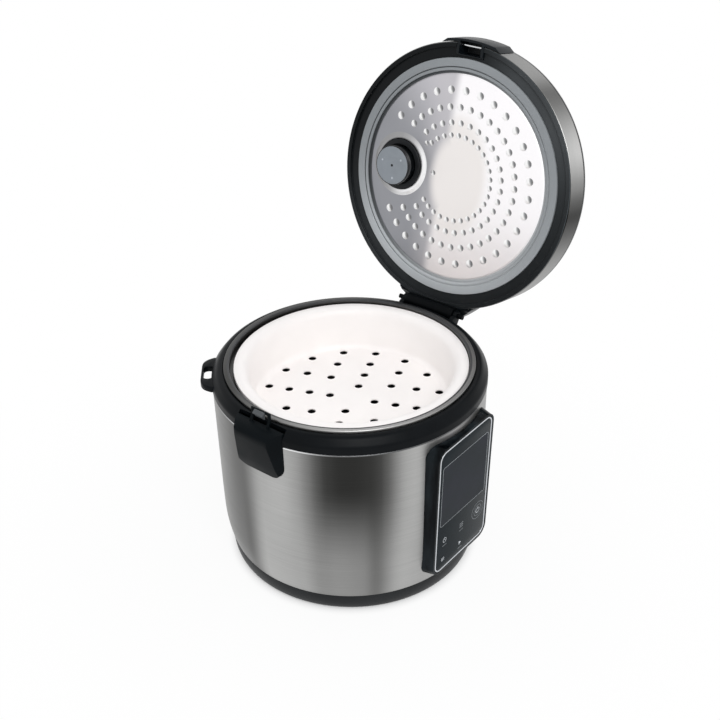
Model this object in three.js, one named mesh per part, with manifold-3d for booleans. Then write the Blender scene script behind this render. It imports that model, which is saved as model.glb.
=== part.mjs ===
// Electric multicooker: a steel-clad body with a touch panel, a removable pot and steamer basket, and a
// lid that swings up on a rear hinge and snaps onto a press latch. Millimetres, +Z up. The origin is on
// the pot's axis, on the surface the feet stand on. The panel faces -Y, the hinge +X and the latch -X.

import * as THREE from "three";
import { mergeVertices } from "three/addons/utils/BufferGeometryUtils.js";
import Module from "manifold-3d";

const wasm = await Module();
wasm.setup();

// ---- Driving sizes ----

const clearance = 0.4; // gap between pieces that fit together
const bigSides = 32; // sides of the large round pieces
const smallSides = 16; // sides of pins, screws and holes

// Inner pot, measured from its bare inside
const potRadius = 112;
const potWall = 1.6;
const potStep = 5.6;
const potStepDrop = 7.8;
const potHeight = 153.4;
const potCorner = 20;
const flangeReach = 5.7;
const flangeThickness = 4;

// Steamer basket
const basketWall = 1.4;
const basketDepth = 44.5;
const basketTaper = 10;
const basketLip = 4;
const basketCorner = 6;
const basketHole = 3.5;
const basketSide = -51;

// Stack from the worktop up to the pot
const footHeight = 3;
const footRadius = 9;
const footCircle = 100;
const linerFloor = 40;
const linerWall = 0.8;
const linerGap = 4;
const heaterLegs = 4.8;
const heaterThickness = 14;
const heaterRadius = 80;
const sensorRadius = 14.6;

// Body
const rimWidth = 11.7;
const rimWall = 2.5;
const rimDrop = 18.8;
const rimLip = 0.6;
const rimSkirt = 9;
const shellWall = 0.8;
const shellTaper = 2;
const baseHeight = 27.3;
const baseWall = 2.6;
const baseTuck = 14;
const screwCircle = 85;
const screwRadius = 1.6;

// Spoon holder on the rim
const earAngle = 132;
const earReach = 12.5;
const earThickness = 6.5;
const earSlotLength = 25;
const earSlotWidth = 9.3;

// Control panel
const panelWidth = 92;
const panelHeight = 152;
const panelMiddle = 109;
const panelCorner = 12.5;
const panelProud = 3.9;
const panelFlare = 6;
const panelDepth = 16;
const panelLean = 1.6;
const bezelWidth = 2.4;
const trimWidth = 1.2;
const faceThickness = 1.6;
const displayMargin = 8; // beside the display
const panelHead = 21; // above the display
const buttonField = 60; // below the display

// Mains inlet
const inletHeight = 46;
const inletWidth = 32;
const inletTall = 24;
const inletDepth = 15;
const bladeLength = 8.5;

// Latch
const latchPivotRise = 10.4; // above the wedge's lower edge
const latchPivotInset = 7.5;
const latchHalfWidth = 29;
const latchFaceHalfWidth = 19.5;
const latchReach = 11;
const latchDrop = 39;
const towerHalfWidth = 11.5;
const noseWidth = 12;
const noseReach = 3;
const noseHeight = 3.2;
const nosePlate = 1;
const pinRadius = 1.5;

// Lid, as it lies closed
const lidRingWidth = 4.5;
const lidBandHeight = 26.8;
const lidBandWall = 0.7;
const coverRise = 12;
const coverWall = 2.5;
const gasketReach = 12.7;
const plateThickness = 1;
const dimpleRadius = 4.1; // on the outermost ring
const dimpleHeight = 1.3;
const valveInset = 45.5; // from the pot's wall
const valveRadius = 20.5;
const valveReach = 13.2;
const ventRadius = 25;
const ventHeight = 7;

// Hinge
const hingeSetback = 2.7;
const hingeDrop = 3.5;
const barrelRadius = 7;
const barrelHalfLength = 29.5;
const knuckleLength = 11;
const hingePinRadius = 2.5;
const armHalfWidth = 46;
const openAngle = 101.8;

// ---- Levels and radii worked out from them ----

const heaterBase = linerFloor + linerWall + heaterLegs;
const heaterTop = heaterBase + heaterThickness;
const potBase = heaterTop + clearance;
const flangeTop = potBase + potHeight;
const potOuter = potRadius + potWall;
const potWide = potRadius + potStep;
const potWideOuter = potWide + potWall;
const flangeRadius = potWide + flangeReach;
const stepLevel = flangeTop - potStepDrop;

const bodyRadius = flangeRadius + rimWidth;
const rimInner = potWideOuter + 2 * clearance;
const rimLedge = flangeTop - flangeThickness - clearance;
const rimCrown = rimLedge + 1.9;
const shellTop = flangeTop - rimDrop;
const shellFoot = baseHeight + clearance;
const rimRadius = bodyRadius + rimLip;
const skirtRadius = bodyRadius - shellWall - clearance;
const linerInner = potOuter + linerGap;
const linerOuter = linerInner + linerWall;
const linerTop = stepLevel - potWall - 3;
const baseUnder = footHeight + clearance;
const baseFloor = baseUnder + baseWall;
const baseRadius = bodyRadius - shellTaper;

const hingeX = bodyRadius + hingeSetback;
const lidFace = flangeTop - 0.7;
const hingeZ = lidFace - hingeDrop;
const lidRadius = bodyRadius - lidBandWall;
const bandFoot = lidFace + 1.2;
const bandTop = bandFoot + lidBandHeight;
const gasketFace = flangeTop + clearance;
const gasketRadius = flangeRadius - 3.6;
const plateFace = gasketFace + 2.6;
const coverTop = bandTop + coverRise;

const valveOffset = potRadius - valveInset;
const displayWidth = panelWidth - 2 * displayMargin;
const displayHeight = panelHeight - panelHead - buttonField;
const latchFloor = shellTop - latchDrop;
const latchPivotHeight = latchFloor + latchPivotRise;

const catchX = -(lidRadius - 2.2);
const catchZ = lidFace + 4.5;
const catchRadius = 1.2;
const noseLevel = catchZ + catchRadius + clearance;

// ---- Geometry helpers ----

const radians = THREE.MathUtils.degToRad;
const xAxis = new THREE.Vector3(1, 0, 0);
const yAxis = new THREE.Vector3(0, 1, 0);
const zAxis = new THREE.Vector3(0, 0, 1);

// A closed geometry as a solid that can be joined and cut.
function solidOf(geometry) {
  const bare = geometry.clone();
  bare.deleteAttribute("normal");
  bare.deleteAttribute("uv");
  const merged = mergeVertices(bare, 1e-4);
  const index = merged.index.array;
  const corners = [];
  for (let i = 0; i < index.length; i += 3) {
    const [a, b, c] = index.slice(i, i + 3);
    if (a !== b && b !== c && c !== a) corners.push(a, b, c);
  }
  const triVerts = new Uint32Array(corners);
  const vertProperties = merged.attributes.position.array;
  return new wasm.Manifold(new wasm.Mesh({ numProp: 3, vertProperties, triVerts }));
}

const asSolid = (shape) => (shape.isBufferGeometry ? solidOf(shape) : shape);
const join = (...shapes) => shapes.map(asSolid).reduce((sum, next) => sum.add(next));
const cut = (...shapes) => shapes.map(asSolid).reduce((rest, tool) => rest.subtract(tool));
const overlap = (...shapes) => shapes.map(asSolid).reduce((shared, next) => shared.intersect(next));

// A mesh of one sub-part, flat-shaded from its solid.
function part(name, shape, finish) {
  const mesh = asSolid(shape).getMesh();
  const geometry = new THREE.BufferGeometry();
  geometry.setAttribute("position", new THREE.BufferAttribute(mesh.vertProperties, 3));
  geometry.setIndex(new THREE.BufferAttribute(mesh.triVerts, 1));
  const flat = geometry.toNonIndexed();
  flat.computeVertexNormals();
  const made = new THREE.Mesh(flat, finish);
  made.name = name;
  return made;
}

const outlineOf = (points) => new THREE.Shape(points.map(([u, v]) => new THREE.Vector2(u, v)));

// A closed profile of [radius, height] points turned about the Z axis.
function revolve(profile, sides = bigSides) {
  const outline = profile.map(([r, z]) => new THREE.Vector2(r, z));
  if (THREE.ShapeUtils.isClockWise(outline)) outline.reverse();
  outline.push(outline[0].clone());
  return new THREE.LatheGeometry(outline, sides).rotateX(Math.PI / 2);
}

// An outline in X and Y, raised from one height to another.
function prism(outline, bottom, top, curveSegments = 2) {
  const shape = outline instanceof THREE.Shape ? outline : outlineOf(outline);
  const settings = { depth: top - bottom, bevelEnabled: false, curveSegments };
  return new THREE.ExtrudeGeometry(shape, settings).translate(0, 0, bottom);
}

// An outline in X and Z, as thick as the stretch of Y between the two values.
const sidePrism = (outline, near, far) => prism(outline, -far, -near).rotateX(Math.PI / 2);

// An outline in Y and Z, as thick as the stretch of X between the two values.
function frontPrism(outline, low, high) {
  return prism(outline, low, high).applyMatrix4(new THREE.Matrix4().makeBasis(yAxis, zAxis, xAxis));
}

const rod = (radius, bottom, top, sides = smallSides) =>
  new THREE.CylinderGeometry(radius, radius, top - bottom, sides)
    .rotateX(Math.PI / 2)
    .translate(0, 0, (bottom + top) / 2);

const rodAlongY = (radius, near, far, sides = smallSides) =>
  new THREE.CylinderGeometry(radius, radius, far - near, sides).translate(0, (near + far) / 2, 0);

const box = ([x0, x1], [y0, y1], [z0, z1]) =>
  new THREE.BoxGeometry(x1 - x0, y1 - y0, z1 - z0).translate((x0 + x1) / 2, (y0 + y1) / 2, (z0 + z1) / 2);

// A rectangle with round corners, centred on the given point.
function roundedRectangle(width, height, radius, u = 0, v = 0) {
  const shape = new THREE.Shape();
  const side = width / 2 - radius;
  const end = height / 2 - radius;
  shape.absarc(u + side, v + end, radius, 0, Math.PI / 2);
  shape.absarc(u - side, v + end, radius, Math.PI / 2, Math.PI);
  shape.absarc(u - side, v - end, radius, Math.PI, 1.5 * Math.PI);
  shape.absarc(u + side, v - end, radius, 1.5 * Math.PI, 2 * Math.PI);
  return shape;
}

// Points of a quarter ellipse from [r0, z0], tangent to the floor, to [r1, z1], tangent to the wall.
function bend([r0, z0], [r1, z1], steps = 3) {
  return Array.from({ length: steps + 1 }, (_, i) => {
    const turn = ((i / steps) * Math.PI) / 2;
    return [r0 + (r1 - r0) * Math.sin(turn), z1 + (z0 - z1) * Math.cos(turn)];
  });
}

// A wire wound round the Z axis.
function coil(meanRadius, wireRadius, bottom, top, turns) {
  class Helix extends THREE.Curve {
    getPoint(t, target = new THREE.Vector3()) {
      const angle = 2 * Math.PI * turns * t;
      return target.set(
        meanRadius * Math.cos(angle),
        meanRadius * Math.sin(angle),
        bottom + (top - bottom) * t,
      );
    }
  }
  const section = new THREE.Shape().absarc(0, 0, wireRadius, 0, 2 * Math.PI);
  const settings = { steps: 8 * turns, curveSegments: 3, extrudePath: new Helix(), bevelEnabled: false };
  return new THREE.ExtrudeGeometry(section, settings);
}

const atAngle = (geometry, degrees, radius = 0) =>
  geometry.translate(radius, 0, 0).rotateZ(radians(degrees));

// ---- Finishes ----

const plain = (color, roughness, metalness = 0) =>
  new THREE.MeshStandardMaterial({ color, roughness, metalness });

const blackPlastic = plain(0x202428, 0.35);
const darkPlastic = plain(0x15181b, 0.5);
const glossBlack = plain(0x1a1d20, 0.12);
const brushedSteel = plain(0xa9a8a5, 0.32, 1);
const polishedSteel = plain(0xc9cacb, 0.15, 1);
const springSteel = plain(0x8d8f92, 0.3, 1);
const castAluminium = plain(0xb4b6b8, 0.45, 1);
const nonStick = plain(0x3a3b3d, 0.4, 0.3);
const whitePlastic = plain(0xf6f4f1, 0.4);
const greyRubber = plain(0x9aa0a6, 0.6);
const greyPlastic = plain(0x868c93, 0.5);
const lightGrey = plain(0x8c9094, 0.5);
const blackRubber = plain(0x17181a, 0.8);
const silverTrim = plain(0x9fa3a8, 0.3, 0.8);
const panelGlass = plain(0x3b3f44, 0.08);
const displayGlass = plain(0x15171a, 0.05);
const circuitGreen = plain(0x1f5a38, 0.6);
const brass = plain(0xb08d4a, 0.3, 1);

// ---- Body ----

// Outside radius of the slightly tapered steel shell at a height.
const shellRadius = (z) => {
  const share = (z - shellFoot) / (shellTop - shellFoot);
  return baseRadius + shellTaper * share;
};

// A solid that fills the shell out to its outside, grown by a gap.
function shellCore(gap, bottom = shellFoot - 20, top = shellTop + 20) {
  const low = shellRadius(bottom) + gap;
  const high = shellRadius(top) + gap;
  return revolve([[0, bottom], [low, bottom], [high, top], [0, top]]);
}

const screwAngles = [45, 135, 225, 315];
const footAngles = [0, 90, 180, 270];

function baseCover() {
  const bendFoot = baseRadius - baseTuck;
  const lipRadius = baseRadius - shellWall - clearance;
  const lipWall = 2;
  const lipHeight = 6;
  const bossRadius = 5;
  const headRadius = 2.4 * screwRadius;
  const headDepth = 3.4;
  const stemRadius = 3 + clearance;
  const slotCount = 8;
  const outside = bend([bendFoot, baseUnder], [baseRadius, baseHeight - 4], 3);
  const inside = bend([bendFoot - 1, baseFloor], [baseRadius - baseWall, baseHeight - 4], 2);
  const shell = revolve([
    [0, baseUnder],
    ...outside,
    [baseRadius, baseHeight],
    [lipRadius, baseHeight],
    [lipRadius, baseHeight + lipHeight],
    [lipRadius - lipWall, baseHeight + lipHeight],
    [lipRadius - lipWall, baseHeight - 3],
    ...inside.reverse(),
    [0, baseFloor],
  ]);
  const bossTop = linerFloor - clearance;
  const bosses = screwAngles.map((a) => atAngle(rod(bossRadius, baseUnder, bossTop, 12), a, screwCircle));
  const bores = screwAngles.map((a) =>
    atAngle(rod(screwRadius + clearance, baseUnder - 1, bossTop + 1, 8), a, screwCircle),
  );
  const sinks = screwAngles.map((a) =>
    atAngle(rod(headRadius + clearance, baseUnder - 1, baseUnder + headDepth, 12), a, screwCircle),
  );
  const sockets = footAngles.map((a) =>
    atAngle(rod(stemRadius, baseUnder - 1, baseFloor + 1, 8), a, footCircle),
  );
  const slots = Array.from({ length: slotCount }, (_, i) =>
    atAngle(box([42, 62], [-1.6, 1.6], [baseUnder - 1, baseFloor + 1]), (360 / slotCount) * (i + 0.5)),
  );
  const cover = cut(join(shell, ...bosses), ...bores, ...sinks, ...sockets, ...slots);
  return part("base_cover", cover, blackPlastic);
}

function feet() {
  const stemRadius = 3;
  return footAngles.map((angle, i) => {
    const pad = revolve(
      [
        [0, 0],
        [footRadius - 1, 0],
        [footRadius, 1],
        [footRadius, footHeight],
        [stemRadius, footHeight],
        [stemRadius, baseFloor + 1],
        [0, baseFloor + 1],
      ],
      10,
    );
    return part("foot_" + (i + 1), atAngle(pad, angle, footCircle), blackRubber);
  });
}

function baseScrews() {
  const headRadius = 2.4 * screwRadius;
  const headTop = baseUnder + 3;
  return screwAngles.map((angle, i) => {
    const screw = revolve(
      [
        [0, baseUnder + 1.6],
        [1.2, baseUnder + 1.6],
        [1.2, baseUnder + 0.4],
        [headRadius, baseUnder + 0.8],
        [headRadius, headTop],
        [screwRadius, headTop],
        [screwRadius, linerFloor + linerWall + 3],
        [0, linerFloor + linerWall + 4],
      ],
      8,
    );
    return part("base_screw_" + (i + 1), atAngle(screw, angle, screwCircle), springSteel);
  });
}

// The opening behind the press latch, from the shell's window up through the rim.
const latchWindow = (side, low, high) =>
  box([-bodyRadius - 30, -side], [-latchHalfWidth - clearance, latchHalfWidth + clearance], [low, high]);

function bodyShell() {
  const foot = baseRadius;
  const wrap = revolve([
    [foot, shellFoot],
    [bodyRadius, shellTop],
    [bodyRadius - shellWall, shellTop],
    [foot - shellWall, shellFoot],
  ]);
  const latchOpening = latchWindow(potRadius, latchFloor - clearance, shellTop + 1);
  const boardOpening = frontWindow(displayWidth + 4, boardHeight() + 2, panelMiddle);
  const inletOpening = sidePrism(
    roundedRectangle(inletBodyWidth() + 2 * clearance, inletBodyTall() + 2 * clearance, 2, 0, inletHeight),
    potRadius,
    bodyRadius + 5,
  );
  return part("body_shell", cut(wrap, latchOpening, boardOpening, inletOpening), brushedSteel);
}

const frontWindow = (width, height, middle) =>
  sidePrism(roundedRectangle(width, height, 4, 0, middle), -bodyRadius - 30, -potRadius);

function rimRing() {
  const shoulder = shellTop + 7.3;
  const innerWall = rimInner + rimWall;
  const shelf = rimLedge - 2.3;
  const catchTop = linerTop - linerWall - clearance;
  return revolve([
    [rimRadius, shellTop + clearance],
    [rimRadius, shoulder],
    [rimRadius - 1.4, shoulder + 2.7],
    [rimRadius - 4.8, rimLedge],
    [rimRadius - 8.6, rimCrown],
    [flangeRadius + 2 * clearance, rimCrown],
    [flangeRadius + 2 * clearance, rimLedge],
    [rimInner, rimLedge],
    [rimInner, catchTop],
    [linerOuter + clearance, catchTop],
    [linerOuter + clearance, catchTop - 2.2],
    [innerWall, catchTop - 2.2],
    [innerWall, shelf],
    [rimRadius - 7, shelf],
    [skirtRadius - 2.2, shoulder + 1.2],
    [skirtRadius - 2.2, shellTop - rimSkirt],
    [skirtRadius, shellTop - rimSkirt],
    [skirtRadius, shellTop + clearance],
  ]);
}

function spoonHolder() {
  const root = rimRadius - 4;
  const tip = bodyRadius + earReach;
  const base = 31;
  const straight = 15;
  const outline = new THREE.Shape();
  outline.moveTo(root, -base);
  outline.lineTo(rimRadius - 1, -base);
  outline.bezierCurveTo(rimRadius + 1, -base + 5, tip, -straight - 9, tip, -straight);
  outline.lineTo(tip, straight);
  outline.bezierCurveTo(tip, straight + 9, rimRadius + 1, base - 5, rimRadius - 1, base);
  outline.lineTo(root, base);
  const middle = tip - 2.2 - earSlotWidth / 2;
  outline.holes.push(roundedRectangle(earSlotWidth, earSlotLength, 3, middle, 0));
  const top = shellTop + 8.9;
  const plate = prism(outline, top - earThickness, top, 5);
  return cut(atAngle(plate, earAngle), rod(rimRadius - 1.5, top - 20, top + 20, bigSides));
}

const atHinge = (geometry) => geometry.translate(hingeX, 0, hingeZ);

function knuckle(side) {
  const near = barrelHalfLength + clearance;
  const far = near + knuckleLength;
  const [low, high] = side > 0 ? [near, far] : [-far, -near];
  const web = [
    [bodyRadius - 8.5, rimLedge - 11],
    [bodyRadius + 0.5, rimLedge - 11.6],
    [hingeX + 0.75 * barrelRadius, hingeZ - 0.6 * barrelRadius],
    [hingeX, hingeZ],
    [hingeX - 0.9 * barrelRadius, hingeZ + 0.25 * barrelRadius],
    [bodyRadius - 8.5, rimLedge - 0.5],
  ];
  return join(atHinge(rodAlongY(barrelRadius, low, high)), sidePrism(web, low, high));
}

// The trough in the rim that the lid's barrel turns in.
function saddle() {
  const reach = barrelHalfLength + clearance;
  const trough = atHinge(rodAlongY(barrelRadius + 0.8 + 2, -reach, reach));
  const rimBody = revolve([
    [rimInner + 1, shellTop + clearance],
    [rimRadius - 1, shellTop + clearance],
    [rimRadius - 1, rimLedge - 7],
    [rimRadius - 6, rimLedge],
    [rimInner + 1, rimLedge],
  ]);
  return overlap(trough, rimBody);
}

// Two plates below the rim that hold the ends of the latch pin.
function latchEars() {
  const near = latchHalfWidth + 0.8;
  const far = near + 3.2;
  const plate = [
    [-latchPivotX() + 3.6, latchPivotHeight - 3.6],
    [-latchPivotX() + 3.6, shellTop + 4],
    [-latchPivotX() - 2.6, shellTop + 4],
    [-latchPivotX() - 2.6, latchPivotHeight - 3.6],
  ];
  return [sidePrism(plate, near, far), sidePrism(plate, -far, -near)];
}

function upperRim() {
  const reach = barrelHalfLength + clearance;
  const bossEnd = reach + knuckleLength + 1;
  const whole = join(rimRing(), spoonHolder(), saddle(), knuckle(1), knuckle(-1), ...latchEars());
  const barrelRoom = atHinge(rodAlongY(barrelRadius + 0.8, -reach, reach, 28));
  const hingeBore = atHinge(rodAlongY(hingePinRadius + clearance, -bossEnd, bossEnd));
  const pinBore = rodAlongY(pinRadius + clearance, -latchHalfWidth - 9, latchHalfWidth + 9, 12).translate(
    -latchPivotX(),
    0,
    latchPivotHeight,
  );
  const latchRoom = latchWindow(rimInner + rimWall + 2, latchFloor - 10, rimCrown + 5);
  const insideShell = shellCore(-shellWall - clearance, shellTop - 60, shellTop + clearance);
  const above = revolve([
    [0, shellTop + clearance],
    [rimRadius + 60, shellTop + clearance],
    [rimRadius + 60, shellTop + 60],
    [0, shellTop + 60],
  ]);
  const trimmed = overlap(whole, join(insideShell, above));
  return part("upper_rim", cut(trimmed, barrelRoom, hingeBore, pinBore, latchRoom), blackPlastic);
}

function liner() {
  const holeRadius = 4 + clearance;
  const corner = 8;
  const top = linerTop;
  const can = revolve([
    [holeRadius, linerFloor],
    ...bend([linerOuter - corner, linerFloor], [linerOuter, linerFloor + corner], 2),
    [linerOuter, top - linerWall],
    [rimInner - clearance, top - linerWall],
    [rimInner - clearance, top],
    [linerInner, top],
    ...bend(
      [linerInner - corner, linerFloor + linerWall],
      [linerInner, linerFloor + linerWall + corner],
      2,
    ).reverse(),
    [holeRadius, linerFloor + linerWall],
  ]);
  const holes = screwAngles.map((a) =>
    atAngle(rod(screwRadius + clearance, linerFloor - 1, linerFloor + 2, 12), a, screwCircle),
  );
  return part("liner", cut(can, ...holes), brushedSteel);
}

function heatingPlate() {
  const boreRadius = sensorRadius + 2;
  const legRadius = 5;
  const disc = revolve([
    [boreRadius, heaterBase],
    [heaterRadius - 4, heaterBase],
    [heaterRadius, heaterBase + 2.4],
    [heaterRadius, heaterTop - 2],
    [heaterRadius - 2, heaterTop],
    [boreRadius, heaterTop],
  ]);
  const legs = [30, 150, 270].map((a) =>
    atAngle(rod(legRadius, linerFloor + linerWall + clearance, heaterBase + 1, 12), a, heaterRadius - 20),
  );
  return part("heating_plate", join(disc, ...legs), castAluminium);
}

// A spring-loaded plunger in the middle of the heating plate that feels the pot's underside.
function sensor() {
  const top = potBase - clearance;
  const stemRadius = 4;
  const grooveRadius = 3;
  const stemEnd = linerFloor - 6;
  const grooveTop = linerFloor - clearance;
  const clipThickness = 1.2;
  const cup = revolve(
    [
      [0, stemEnd],
      [stemRadius, stemEnd],
      [stemRadius, grooveTop - 2],
      [grooveRadius, grooveTop - 2],
      [grooveRadius, grooveTop],
      [stemRadius, grooveTop],
      [stemRadius, top - 2.5],
      [sensorRadius - 2, top - 2.5],
      [sensorRadius - 2, top - 9],
      [sensorRadius, top - 9],
      [sensorRadius, top - 0.6],
      [sensorRadius - 0.6, top],
      [0, top],
    ],
    smallSides,
  );
  const clipFoot = grooveTop - 1 - clipThickness / 2;
  const clip = revolve(
    [
      [grooveRadius + 0.3, clipFoot],
      [7, clipFoot],
      [7, clipFoot + clipThickness],
      [grooveRadius + 0.3, clipFoot + clipThickness],
    ],
    smallSides,
  );
  const wire = 0.8;
  const spring = coil(8, wire, linerFloor + linerWall + wire + 0.3, top - 2.5 - wire - 0.3, 3);
  return [
    part("sensor_cup", cup, castAluminium),
    part("sensor_clip", clip, springSteel),
    part("sensor_spring", spring, springSteel),
  ];
}

// ---- Pot and basket ----

function innerPot() {
  const floor = potBase + potWall;
  const top = flangeTop;
  const bead = 1.2;
  const outerCorner = potCorner + potWall;
  const slope = 1.6;
  return part(
    "inner_pot",
    revolve([
      [0, potBase],
      ...bend([potOuter - outerCorner, potBase], [potOuter, potBase + outerCorner]),
      [potOuter, stepLevel - potWall - slope],
      [potOuter + slope, stepLevel - potWall],
      [potWideOuter, stepLevel - potWall + 0.6],
      [potWideOuter, top - flangeThickness],
      [flangeRadius - bead, top - flangeThickness],
      [flangeRadius, top - flangeThickness + bead],
      [flangeRadius, top - bead],
      [flangeRadius - bead, top],
      [potWide + bead, top],
      [potWide, top - bead],
      [potWide, stepLevel],
      [potRadius, stepLevel - 0.6],
      ...bend([potRadius - potCorner, floor], [potRadius, floor + potCorner]).reverse(),
      [0, floor],
    ]),
    nonStick,
  );
}

// Centres of the basket's drain holes: four arms of a cross, and six more holes between each pair.
function basketHoles() {
  const arms = [0, 1, 2, 3].map((i) => [22.2 + 21.3 * i, 0]);
  const between = [
    [31.5, 31.5],
    [32.5, 56.5],
    [56.5, 32.5],
    [32.5, 79.5],
    [79.5, 32.5],
    [60.5, 61],
  ];
  return [...arms, ...between];
}

const basketOuter = () => potRadius - 2.8;

// The basket lies pushed against one side of the pot.
function basketShift() {
  const slack = potRadius - basketOuter() - clearance;
  return new THREE.Vector3(slack, 0, 0).applyAxisAngle(zAxis, radians(basketSide));
}

function steamerBasket() {
  const seat = stepLevel + clearance;
  const outer = basketOuter();
  const lipRadius = outer + basketLip;
  const top = seat + 6;
  const floorTop = top - basketDepth;
  const floorRadius = outer - basketTaper;
  const floorUnder = floorTop - basketWall;
  const wall = revolve([
    [0, floorUnder],
    ...bend([floorRadius - basketCorner, floorUnder], [floorRadius, floorUnder + basketCorner], 2),
    [outer, seat],
    [lipRadius, seat],
    [lipRadius, top],
    [lipRadius - basketWall, top],
    [outer - basketWall, seat + 1.2],
    ...bend(
      [floorRadius - basketWall - basketCorner, floorTop],
      [floorRadius - basketWall, floorTop + basketCorner],
      2,
    ).reverse(),
    [0, floorTop],
  ]);
  const turn = 23;
  const holes = [0, 90, 180, 270].flatMap((quarter) =>
    basketHoles().map(([x, y]) =>
      rod(basketHole, floorUnder - 1, floorTop + 1, 6)
        .translate(x, y, 0)
        .rotateZ(radians(turn + quarter)),
    ),
  );
  const basket = part("steamer_basket", cut(wall, ...holes), whitePlastic);
  basket.position.copy(basketShift());
  return basket;
}

// ---- Control panel ----

const boardWidth = () => panelWidth - 20;
const boardHeight = () => panelHeight - 26;
const panelFront = () => -(shellRadius(panelMiddle) + panelProud);

// Turns a geometry built upright on the panel's front plane to the panel's backward lean.
function leaned(geometry) {
  return geometry
    .translate(0, -panelFront(), -panelMiddle)
    .rotateX(radians(panelLean))
    .translate(0, panelFront(), panelMiddle);
}

// A block behind the panel's outline: its front is the given rectangle, and it widens toward the back.
function flaredBlock(width, height, corner, front, depth, flare) {
  const sections = [0, 1].map((back) => {
    const grow = 2 * flare * back;
    return roundedRectangle(width + grow, height + flare * back, corner + flare * back * 0.5, 0, panelMiddle)
      .getPoints(2)
      .map((p) => new THREE.Vector3(p.x, front + depth * back, p.y));
  });
  const [face, back] = sections;
  const count = face.length;
  const positions = [...face, ...back].flatMap((p) => p.toArray());
  const ends = THREE.ShapeUtils.triangulateShape(face.map((p) => new THREE.Vector2(p.x, p.z)), []);
  const index = ends.flatMap(([a, b, c]) => [a, b, c, count + c, count + b, count + a]);
  for (let i = 0; i < count; i += 1) {
    const next = (i + 1) % count;
    index.push(i, count + i, next, next, count + i, count + next);
  }
  const geometry = new THREE.BufferGeometry();
  geometry.setAttribute("position", new THREE.Float32BufferAttribute(positions, 3));
  geometry.setIndex(index);
  return geometry;
}

function panelHousing() {
  const front = panelFront();
  const block = flaredBlock(panelWidth, panelHeight, panelCorner, front, panelDepth, panelFlare);
  const pocketDepth = faceThickness + clearance;
  const pocket = sidePrism(
    roundedRectangle(trimOuterWidth() + 2 * clearance, trimOuterHeight() + 2 * clearance,
      panelCorner - bezelWidth, 0, panelMiddle),
    front - 5,
    front + pocketDepth,
  );
  const window = sidePrism(
    roundedRectangle(displayWidth + 2 * clearance, boardHeight() - 6, 3, 0, panelMiddle),
    front - 5,
    front + 30,
  );
  const shaped = cut(leaned(block), shellCore(clearance, 0, shellTop + 40));
  return part("panel_housing", cut(shaped, leaned(pocket), leaned(window)), glossBlack);
}

const trimOuterWidth = () => panelWidth - 2 * bezelWidth;
const trimOuterHeight = () => panelHeight - 2 * bezelWidth;

function panelTrim() {
  const front = panelFront();
  const corner = panelCorner - bezelWidth;
  const outline = roundedRectangle(trimOuterWidth(), trimOuterHeight(), corner, 0, panelMiddle);
  const innerWidth = trimOuterWidth() - 2 * trimWidth;
  const innerHeight = trimOuterHeight() - 2 * trimWidth;
  outline.holes.push(roundedRectangle(innerWidth, innerHeight, corner - trimWidth, 0, panelMiddle));
  return part("panel_trim", leaned(sidePrism(outline, front, front + faceThickness)), silverTrim);
}

function panelFace() {
  const front = panelFront();
  const inset = 2 * (trimWidth + clearance);
  const corner = panelCorner - bezelWidth - trimWidth;
  const outline = roundedRectangle(
    trimOuterWidth() - inset,
    trimOuterHeight() - inset,
    corner,
    0,
    panelMiddle,
  );
  return part("panel_face", leaned(sidePrism(outline, front, front + faceThickness)), panelGlass);
}

// The display stands on the circuit board, behind the panel's face.
function panelElectronics() {
  const boardThickness = 1.6;
  const displayMiddle = panelMiddle + (buttonField - panelHead) / 2;
  const shellInside = baseRadius - shellWall - 2.5;
  const boardFront = -Math.sqrt(shellInside ** 2 - (boardWidth() / 2) ** 2);
  const display = sidePrism(
    roundedRectangle(displayWidth, displayHeight, 1.5, 0, displayMiddle),
    panelFront() + faceThickness + clearance,
    boardFront - clearance,
  );
  const board = sidePrism(
    roundedRectangle(boardWidth(), boardHeight(), 3, 0, panelMiddle),
    boardFront,
    boardFront + boardThickness,
  );
  return [
    part("display_module", leaned(display), displayGlass),
    part("panel_board", leaned(board), circuitGreen),
  ];
}

// ---- Mains inlet ----

const inletBodyWidth = () => inletWidth - 5;
const inletBodyTall = () => inletTall - 4.5;
const bladeSpots = [
  ["inlet_blade_live", -7, -2.5],
  ["inlet_blade_earth", 0, 2.5],
  ["inlet_blade_neutral", 7, -2.5],
];

function inlet() {
  const face = shellRadius(inletHeight) + clearance + 1.8;
  const back = face - inletDepth;
  const socketDepth = inletDepth - 2;
  const flange = sidePrism(roundedRectangle(inletWidth, inletTall, 3, 0, inletHeight), face - 1.8, face);
  const body = sidePrism(
    roundedRectangle(inletBodyWidth(), inletBodyTall(), 2, 0, inletHeight),
    back,
    face - 1,
  );
  const socket = sidePrism(
    roundedRectangle(inletBodyWidth() - 3.4, inletBodyTall() - 3.4, 2, 0, inletHeight),
    face - socketDepth,
    face + 1,
  );
  const bladeSize = [2, 4];
  const slot = (u, v, room, near, far) =>
    box(
      [u - bladeSize[0] / 2 - room, u + bladeSize[0] / 2 + room],
      [near, far],
      [inletHeight + v - bladeSize[1] / 2 - room, inletHeight + v + bladeSize[1] / 2 + room],
    );
  const slots = bladeSpots.map(([, u, v]) => slot(u, v, 0.3, back - 1, face - socketDepth + 1));
  const blades = bladeSpots.map(([name, u, v]) =>
    part(name, slot(u, v, 0, back - 0.6, face - socketDepth + bladeLength), brass),
  );
  return [part("inlet_socket", cut(join(flange, body), socket, ...slots), blackPlastic), ...blades];
}

// ---- Latch ----

const latchPivotX = () => bodyRadius - latchPivotInset;

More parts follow.
